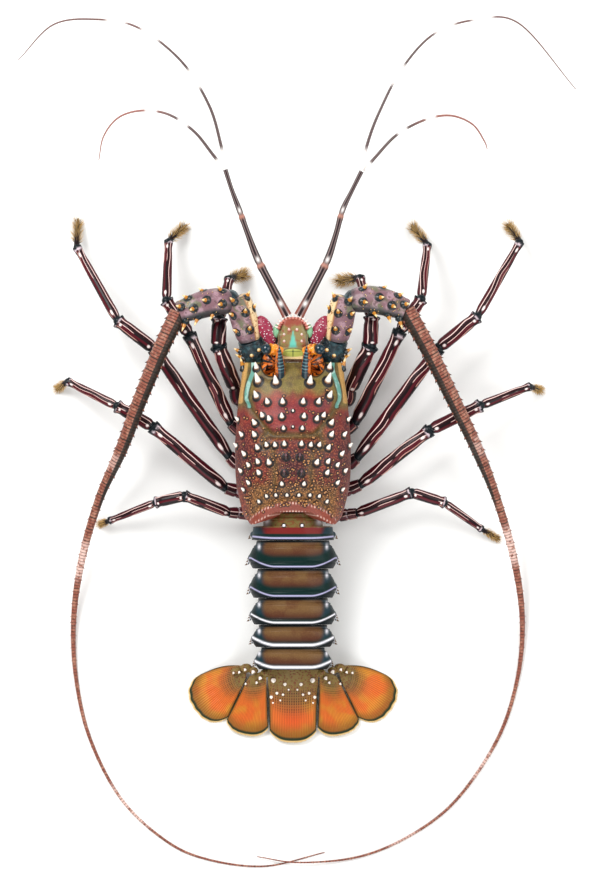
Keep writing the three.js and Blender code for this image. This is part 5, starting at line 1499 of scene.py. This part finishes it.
def makeBlade(name, rootFrom, rootTo, rim, lift, rootThickness, node, rootShare, seed, bulge=0.0, extra=()):
    # points run from the root line to the rounded rim; fine rays show as ridges, finer towards the rim,
    # which waves a little between them; bulge is how far the front edge curves forward, and rootShare is the
    # share of the length that is olive and granular
    def top(u, v):
        # from the root line at u = 0 straight to the rim at u = 1, with ridges cos(pi n v) along the rays
        fx, fy = rim(v)
        t = (v + 1) / 2
        wave = 1 + 0.004 * np.cos(math.pi * v * fan["rays"]) * smooth(0.6, 1, u)
        x = (rootFrom[0] + (rootTo[0] - rootFrom[0]) * t) * (1 - u) + fx * u * wave
        y = (rootFrom[1] + (rootTo[1] - rootFrom[1]) * t) * (1 - u) + fy * u
        y = y + bulge * np.sin(math.pi * u) * ((1 - v) / 2) ** 2
        ray = np.cos(math.pi * v * fan["rays"]) * 0.2 * np.sin(math.pi * np.minimum(1, u * 1.05))
        fine = np.cos(math.pi * v * fan["rays"] * 4) * 0.06 * smooth(0.2, 0.5, u) * smooth(1, 0.93, u)
        return np.stack([x, y, fanHeight(x, y, lift) + ray + fine], axis=-1)

    def thick(u, v):
        # from the root's thickness down to the rim's, and thinner at both sides
        side = 1 - 0.6 * smooth(0.9, 1, np.abs(v))
        return np.maximum(rootThickness + (fan["thin"] - rootThickness) * np.minimum(1, u * 1.5), 0.9) * side

    def rays(u, v):
        # fine dark lines between the ridges, four to each
        return smooth(0.1, 0.9, np.cos(math.pi * v * fan["rays"] * 4) * 0.5 + 0.5) * smooth(0.15, 0.4, u)

    def dots(u, v):
        # rows of small dots past the granular root
        lines = smooth(-0.2, 0.5, -np.cos(math.pi * v * fan["rays"] * 3))
        reach = smooth(rootShare * 0.4, rootShare * 0.7, u)
        reach = reach * smooth(rootShare + 0.22, rootShare, u + 0.1 * v * v)
        return lines * smooth(-0.4, 0.3, np.cos(u * 170)) * reach

    def border(u, v, rimFrom, rimTo, sideFrom, sideTo, rootEnd):
        # rises to 1 close to the rim and to the two sides, and stays 0 close to the root
        side = smooth(sideFrom, sideTo, np.abs(v)) * smooth(rootEnd - 0.2, rootEnd, u)
        return np.maximum(smooth(rimFrom, rimTo, u), side)

    surface = plateSurface(
        top, thick, fan["rows"], fan["columns"], rays=rays, dots=dots,
        hot=lambda u, v: bump(u - 0.68, 0.2) * bump(v, 0.6) * (0.8 if lift > 1.7 else 0.3),
        root=lambda u, v: smooth(rootShare + 0.25, rootShare - 0.15, u + 0.12 * v * v),
        base=lambda u, v: smooth(rootShare * 0.7 + 0.02, rootShare * 0.7 - 0.02, u - 0.05 * v * v),
        edge=lambda u, v: border(u, v, 0.72, 0.93, 0.8, 0.97, 0.3),
        rim=lambda u, v: border(u, v, 0.925, 0.955, 0.94, 0.975, 0.4),
        fringe=lambda u, v: smooth(0.982, 0.992, u))
    makePiece(name, [surface, *extra], finishes["fan"], [node])
    # a fringe of fine bristles along the rim
    random = np.random.default_rng(seed)
    count = fan["bristles"]
    v = random.uniform(-0.98, 0.98, count)
    foot, before = top(np.full(count, 0.985), v), top(np.full(count, 0.93), v)
    foot[:, 2] = np.maximum(foot[:, 2] - fan["thin"] * 0.5, 0.25)
    before[:, 2] = foot[:, 2]
    out = unit(foot - before + random.normal(0, 0.02, (count, 3)) * [1, 1, 0])
    fringe = cones(foot, out, random.uniform(0.9, 1.5, count), fan["bristleRadius"], 3, 4)
    fringe["points"][:, 2] = np.maximum(fringe["points"][:, 2], 0.02)
    corners = np.stack([(v + 1) / 2, np.full(count, 0.98)], axis=-1)
    rootMap = rootPatches(corners, len(fringe["points"]) // count)
    makePiece(name + "Fringe", [fringe], finishes["fringe"], (), rootMap)


def polarRim(side, centre, start, stop, radius, fall):
    # an arc about a centre whose radius falls by fall * |v|^3 towards its two corners
    def rim(v):
        # the point at bearing v of the arc
        angle = np.radians(start + (stop - start) * (v + 1) / 2)
        reach = radius * (1 - fall * np.abs(v) ** 3)
        return side * (centre[0] + reach * np.cos(angle)), centre[1] + reach * np.sin(angle)
    return rim


def makeTail():
    # the middle blade with its spines, then on each side the inner and outer blade with lumps and knobs at
    # their root
    def telsonRim(v):
        # nearly straight across, rounded at both corners
        return -14.0 * v, -179.3 + 6.4 * np.abs(v) ** 2.8

    root, lift = fan["root"], fan["middleLift"]
    makeBlade("tailMiddle", (15.2, root), (-15.2, root), telsonRim, lift, 5.5, "telson", 0.5, 40)
    spots = np.array([(x * s, y, fanHeight(x, y, lift), size)
                      for x, y, size in fan["spines"] for s in (-1, 1)])
    sizes = spots[:, 3]
    spines = cones(spots[:, :3], np.tile([0, -0.6, 1], (len(spots), 1)), sizes * 1.9, sizes, 14, 12, 0.55)
    makePiece("tailSpines", [spines], finishes["shellSpine"], ())
    for name, side in sides.items():
        title = name.title()
        makeBlade("tailInner" + title, (side * 26, -139.5), (side * 16.2, root - 0.4),
                  polarRim(side, *fan["innerRim"]), fan["innerLift"], 4, "uropod_inner_" + name, 0.3, 41)
        lumps = [ballSurface((side * x, y, z), radii, 32, 20, root=1.0, base=1.0)
                 for (x, y, z), radii in fan["lumps"]]
        makeBlade("tailOuter" + title, (side * 27, -133.6), (side * 28.6, -141.5),
                  polarRim(side, *fan["outerRim"]), 0, 4, "uropod_outer_" + name, 0.35, 42, 2.6, lumps)
        rows = np.array(fan["knobs"])
        lean = [(side * 0.5, -0.8, 0.8)] * len(rows)
        knobs = cones(rows[:, :3] * [side, 1, 1], lean, rows[:, 3], rows[:, 4], 14, 10, 0.6)
        makePiece("tailKnobs" + title, [knobs], finishes["shellSpine"], ())


for index in range(6):
    makeRing(index)
makeTail()
print("abdomen and tail done")


# Floor, light and camera

floorPiece = {"size": 12.0, "colour": "f4f4f2"}


def makeFloor():
    # a wide pale board under the animal
    half = floorPiece["size"] / 2
    mesh = bpy.data.meshes.new("paleBoard")
    corners = [(-half, -half, 0), (half, -half, 0), (half, half, 0), (-half, half, 0)]
    mesh.from_pydata(corners, [], [(0, 1, 2, 3)])
    f = Finish("paleMattBoard", floorPiece["colour"], 0.8, 1.45)
    f.lay("ececea", f.times(f.noise(60), 0.2))
    mesh.materials.append(f.done())
    board = bpy.data.objects.new("paleBoard", mesh)
    bpy.context.collection.objects.link(board)


# Lamps: place in metres, width and power in watts, all aimed at the middle of the body
lamps = {
    "keyLight": ((-0.9, 1.0, 1.4), 1.0, 38), "fillLight": ((1.3, 0.2, 1.2), 1.4, 20),
    "lowLight": ((-0.2, -1.5, 1.0), 1.4, 16),
}
room = {"colour": (1, 1, 1, 1), "strength": 0.35, "target": (0, 0, 0.02)}


def addAreaLight(name, place, size, power):
    # a square lamp, not yet aimed
    light = bpy.data.lights.new(name, "AREA")
    light.size = size
    light.energy = power
    lamp = bpy.data.objects.new(name, light)
    lamp.location = place
    bpy.context.collection.objects.link(lamp)
    return lamp


def aim(thing, target):
    # turns a thing so that its -Z looks at the target
    thing.rotation_euler = (Vector(target) - thing.location).to_track_quat("-Z", "Y").to_euler()


def makeLight():
    # three soft lamps and an even white room
    for name, (place, size, power) in lamps.items():
        aim(addAreaLight(name, place, size, power), room["target"])
    world = bpy.data.worlds.new("paleRoom")
    world.use_nodes = True
    background = world.node_tree.nodes["Background"]
    background.inputs[0].default_value = room["colour"]
    background.inputs[1].default_value = room["strength"]
    bpy.context.scene.world = world
    bpy.context.scene.view_settings.view_transform = "Standard"


# The picture is 594 x 888 and 0.6 mm to the pixel; a long lens far above keeps the plan true
picture = {"height": 888, "pixel": 0.6, "lens": 400.0, "sensor": 36.0, "middle": (-0.0001, -0.0003)}


def makeCamera():
    # the height of the picture fills the sensor: distance = height * lens / sensor
    data = bpy.data.cameras.new("plateCamera")
    data.lens = picture["lens"]
    data.sensor_width = picture["sensor"]
    data.clip_end = 100
    reach = picture["height"] * picture["pixel"] * mm * picture["lens"] / picture["sensor"]
    camera = bpy.data.objects.new("plateCamera", data)
    camera.location = (*picture["middle"], reach)
    bpy.context.collection.objects.link(camera)
    bpy.context.scene.camera = camera


makeFloor()
makeLight()
makeCamera()
print("scene done")
